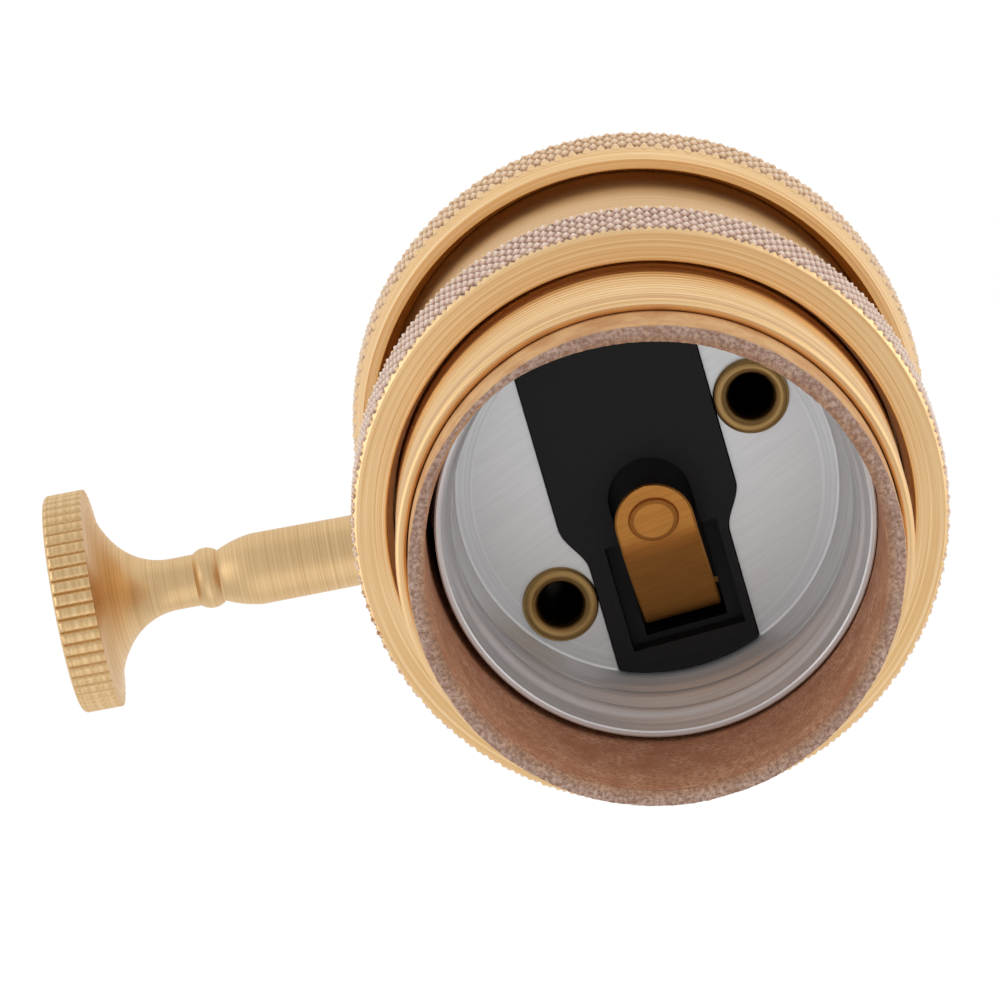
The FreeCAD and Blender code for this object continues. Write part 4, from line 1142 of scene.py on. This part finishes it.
disc = [(0, BLOCK_BASE), (BLOCK_RADIUS, BLOCK_BASE), (BLOCK_RADIUS, PLATE_BASE), (0, PLATE_BASE)]
front_block = make_object("front_block_moulded", [turned(disc, 128)], [PHENOLIC])
bridge = on_base("bridge", bridge_outline(0, BRIDGE_REACH), PLATE_BASE - 1, BRIDGE_TOP, [PHENOLIC])
carve(front_block, bridge, operation="UNION")
arch = [(SLOT * math.cos(a), SLOT_CENTRE + SLOT * math.sin(a))
        for a in (math.pi + math.pi * i / 24 for i in range(25))]
arch += [(SLOT, SLOT_END), (-SLOT, SLOT_END)]
above = BRIDGE_TOP + 1
tools = [
    on_base("slot_tool", arch, BRIDGE_TOP - SLOT_DEPTH, above),
    on_base("well_tool", oblong(SLOT, WELL_START, SLOT_END), BLOCK_BASE - 1, above),
    on_base("cheek_tool", oblong(CHEEK, CHEEK_START, CHEEK_END), BRIDGE_TOP - CHEEK_DEPTH, above),
    rod("chamber_tool", CHAMBER, -8.6, 1.5),
    rod("journal_tool", JOURNAL, -9.5, 20),
]
for tool in tools[-2:]:
    tool.matrix_world = ALONG_X
carve(front_block, *tools, *eyelet_bores(BLOCK_BASE - 1, PLATE_TOP + 1))
soft = front_block.modifiers.new("soft_edges", "BEVEL")
soft.width = SOFT_EDGE * MM
soft.segments = 3
soft.limit_method = "ANGLE"
soft.angle_limit = math.radians(40)
settle(front_block)
stand_for(front_block, "housing", "front_block")

# %% [markdown]
# ## The eyelets
#
# Two brass eyelets rivet the plate to the base. A punch rolled their ends over into small
# rings, with a funnel inside that runs down into the tube.

# %% Eyelets
EYELET_OUT = 2.41
EYELET_TUBE = 1.8
EYELET_HOLE = 1.43
ROLL_HEIGHT = 0.5
ROLL_TOP = 0.46
FUNNEL_DROP = 0.35
REAR_FACE = height_of("eyelets", 0) + 0.6


def rolled_edge(steps=14):
    """The rolled end from its outer foot, over its rounded top and down into the tube."""
    points = []
    for share in (i / steps for i in range(steps + 1)):
        angle = math.pi * share
        reach = EYELET_OUT - (EYELET_OUT - EYELET_HOLE) * (0.5 - 0.5 * math.cos(angle))
        lift = ROLL_HEIGHT * math.sin(angle) ** ROLL_TOP
        drop = FUNNEL_DROP * share * max(0.0, share - 0.5) * 2
        points.append((reach, PLATE_TOP + lift - drop))
    return points


outside = rounded([
    (EYELET_OUT, REAR_FACE - 0.3, 0.15),
    (EYELET_OUT, REAR_FACE),
    (EYELET_TUBE, REAR_FACE),
    (EYELET_TUBE, PLATE_TOP),
]) + rolled_edge()
inside = [outside[-1], (EYELET_HOLE, PLATE_TOP - 0.9), (EYELET_HOLE, REAR_FACE - 0.6), outside[0]]
for number, spot in enumerate(EYELETS, start=1):
    skins = [turned(outside, 72), turned(inside, 72)]
    # the tube's inside takes the nearly black finish, painted shade deep in the hole
    eyelet = make_object(f"eyelet_{number}_rolled", skins, [EYELET_BRASS, EYELET_TUBE_SHADE])
    eyelet.location = spot * MM
    stand_for(eyelet, "housing", "eyelets")

# %% [markdown]
# ## The centre contact
#
# A tongue of springy copper alloy, folded up out of the well and over towards the middle. Its
# tip is round and has a coined pip. The strip is swept: a ring of points goes round its edge
# at each place along its middle line, and the tip's rings get narrower along a circle.

# %% Tongue
TONGUE_HALF = 2.5
TONGUE_SHEET = 0.5
TONGUE_TIP = -1.2
TONGUE_CORNER = 0.12
FOLD = 8.5
FOLD_BASE = PLATE_BASE - 3.2
TONGUE_BEND = 2.6
TONGUE_TOP = PLATE_BASE + 4.6

half_sheet = TONGUE_SHEET / 2
tongue_corners = [
    (FOLD, FOLD_BASE),
    (FOLD, PLATE_BASE, 0.9),
    (TONGUE_BEND, TONGUE_TOP - half_sheet, 3.0),
    (TONGUE_TIP, TONGUE_TOP - half_sheet),
]


def tongue_line():
    """The middle line from the leg to the tip, as (along, height) with its bends rounded."""
    path = [tongue_corners[0]]
    for before, corner, after in zip(tongue_corners, tongue_corners[1:], tongue_corners[2:]):
        path += rounded([before[:2], corner, after[:2]], steps=10)[1:-1]
    start, tip = Vector(path[-1]), Vector(tongue_corners[-1])
    return path + [tuple(start.lerp(tip, i / 24)) for i in range(1, 25)]


def tongue_skin(path):
    """Rings of eight points along the middle line, closed at both ends."""
    vertices, faces = [], []
    for i, (v, z) in enumerate(path):
        before, after = Vector(path[max(i - 1, 0)]), Vector(path[min(i + 1, len(path) - 1)])
        ahead = (after - before).normalized()
        up_v, up_z = ahead.y, -ahead.x
        half = TONGUE_HALF
        if v < TONGUE_TIP + TONGUE_HALF:
            short = TONGUE_TIP + TONGUE_HALF - v
            half = math.sqrt(max(TONGUE_HALF ** 2 - short ** 2, 0.02))
        edge = min(TONGUE_CORNER, half * 0.5)
        upper = [(-half, half_sheet - edge), (-half + edge, half_sheet),
                 (half - edge, half_sheet), (half, half_sheet - edge)]
        ring = upper + [(-across, -rise) for across, rise in upper]
        vertices += [(across, v + up_v * rise, z + up_z * rise) for across, rise in ring]
    count = len(ring)
    for row in range(len(path) - 1):
        low, high = row * count, (row + 1) * count
        for j in range(count):
            after = (j + 1) % count
            faces.append((low + j, low + after, high + after, high + j))
    faces += [tuple(range(count - 1, -1, -1)), tuple(range(high, high + count))]
    return vertices, faces


tongue = tongue_skin(tongue_line())
print("tongue with", len(tongue[0]), "vertices")

# %% Pip and centre contact
PIP = 1.5
PIP_CENTRE = 1.0
PIP_SQUASH = 0.86
PIP_TOP = height_of("centre_contact", 1)

pip_section = rounded([
    (PIP + 0.12, TONGUE_TOP - 0.2),
    (PIP + 0.1, TONGUE_TOP + 0.02, 0.05),
    (PIP, PIP_TOP - 0.2, 0.1),
    (PIP - 0.25, PIP_TOP - 0.07, 0.1),
    (0, PIP_TOP),
])
vertices, faces = turned(pip_section, 64)
pip = ([(x, y * PIP_SQUASH + PIP_CENTRE, z) for x, y, z in vertices], faces)
contact = make_object("centre_contact_coined", [tongue, pip], [CONTACT_BRONZE])
contact.matrix_world = BASE_TURN
stand_for(contact, "contact", "centre_contact")

# %% [markdown]
# ## The knob
#
# The knob is the finest lathe work here: a plain stem, a cone, a bead, and a throat that
# flares like a trumpet up to a thin head with 52 flutes milled round it. Only the head needs
# enough columns to round each flute, so seams join it to a coarser stem.

# %% Stem of the knob
SHAFT_HOLE = 1.3
SHAFT_HOLE_END = 18.4
STEM = 2.22
STEM_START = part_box("knob")[0].x / MM
STEM_SWELL = 0.08
STEM_END = 25.5
CONE_END = 27.85
CONE = 1.66
CONE_ARC = 7.0
BEAD_CENTRE = 28.69
BEAD_HALF = 0.79
BEAD_ARC = 1.221
THROAT_START = 30.98
THROAT = 1.65
FLARE_INNER = 4.2
FLARE_LEAN = math.radians(50)
HEAD = 7.05

joint_x = THROAT_START + FLARE_INNER * math.sin(FLARE_LEAN)
joint_r = THROAT + FLARE_INNER * (1 - math.cos(FLARE_LEAN))
outer = (HEAD - joint_r) / math.cos(FLARE_LEAN)
head_back = joint_x - outer * math.sin(FLARE_LEAN) + outer


def flare(share):
    """A point of the flare's outer arc, from 0 at its inner arc to 1 at the back of the head."""
    a = FLARE_LEAN + (TAU / 4 - FLARE_LEAN) * share
    return HEAD - outer * math.cos(a), head_back - outer * (1 - math.sin(a))


stem = rounded([
    (0, SHAFT_HOLE_END),
    (SHAFT_HOLE, SHAFT_HOLE_END),
    (SHAFT_HOLE, STEM_START),
    (STEM, STEM_START, 0.12),
    (STEM + STEM_SWELL, STEM_END),
])[:-1]
stem += arc((STEM + STEM_SWELL, STEM_END), (CONE, CONE_END), CONE_ARC, 8)
stem += arc((CONE, BEAD_CENTRE - BEAD_HALF), (CONE, BEAD_CENTRE + BEAD_HALF), BEAD_ARC, 12)
stem += [(THROAT, THROAT_START)]
stem += [(THROAT + FLARE_INNER * (1 - math.cos(a)), THROAT_START + FLARE_INNER * math.sin(a))
         for a in (FLARE_LEAN * i / 10 for i in range(1, 11))]
stem += [flare(i / 12) for i in range(1, 8)]
print("head starts at", round(head_back, 2), "mm from the lamp's axis")

# %% Head of the knob
FLUTES = 52
FLUTE = 0.24
LAND = 3.5
KNOB_FINE = FLUTES * 12
KNOB_COARSE = FLUTES * 2
KNOB_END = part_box("knob")[1].x / MM


def flute_relief(radius, height, angle):
    """Broad round lands with a narrow groove between each two."""
    if radius < HEAD - 0.5:
        return radius
    share = abs((angle * FLUTES / TAU) % 1 * 2 - 1)
    return min(radius, HEAD - FLUTE * share ** LAND)


head = [flare(i / 24) for i in range(15, 25)]
head += divided((HEAD, head_back), (HEAD, KNOB_END - 0.25), 0.4)
head += [(HEAD, KNOB_END - 0.25), (HEAD - 0.1, KNOB_END - 0.1), (HEAD - 0.28, KNOB_END)]
head += [(HEAD - 0.7, KNOB_END)]
face = [(HEAD - 1.0, KNOB_END), (0, KNOB_END)]
skins = [
    turned(stem, KNOB_COARSE),
    turned(head, KNOB_FINE, flute_relief),
    turned(face, KNOB_COARSE),
    seam(stem[-1], KNOB_COARSE, head[0], KNOB_FINE),
    seam(face[0], KNOB_COARSE, head[-1], KNOB_FINE, fine_is_next=False),
]
knob = make_object("knob_fluted", skins, [KNOB_BRASS])
knob.matrix_world = ALONG_X
stand_for(knob, "switch", "knob")

# %% [markdown]
# ## The pieces that stay plain
#
# Inside the cap, the blocks, terminals and switch parts have the right shape already. They
# only show through the neck and the notch, so a finish is all that they need.

# %% Finishes for the plain pieces
PLAIN = [
    (FIBRE, ["cap_liner"]),
    (PHENOLIC, ["rear_block", "rotor"]),
    (STRIP_BRASS, ["switch_contact", "line_terminal", "neutral_terminal", "moving_contact",
                   "rotor_washer", "line_screw"]),
    (KNOB_BRASS, ["neck_grub_screw"]),
    (NICKEL, ["neutral_screw"]),
    (STEEL, ["switch_shaft", "rotor_pin", "detent_spring"]),
]
for finish, nodes in PLAIN:
    for node in nodes:
        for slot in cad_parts[node].material_slots:
            slot.material = finish
    print(finish.name, "on", len(nodes))

# %% Write the sizes and finish
dressed_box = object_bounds()
for name, (low_corner, high_corner) in (("plain", plain_box), ("dressed", dressed_box)):
    print(name, "size in mm:", [round(side / MM, 2) for side in high_corner - low_corner])
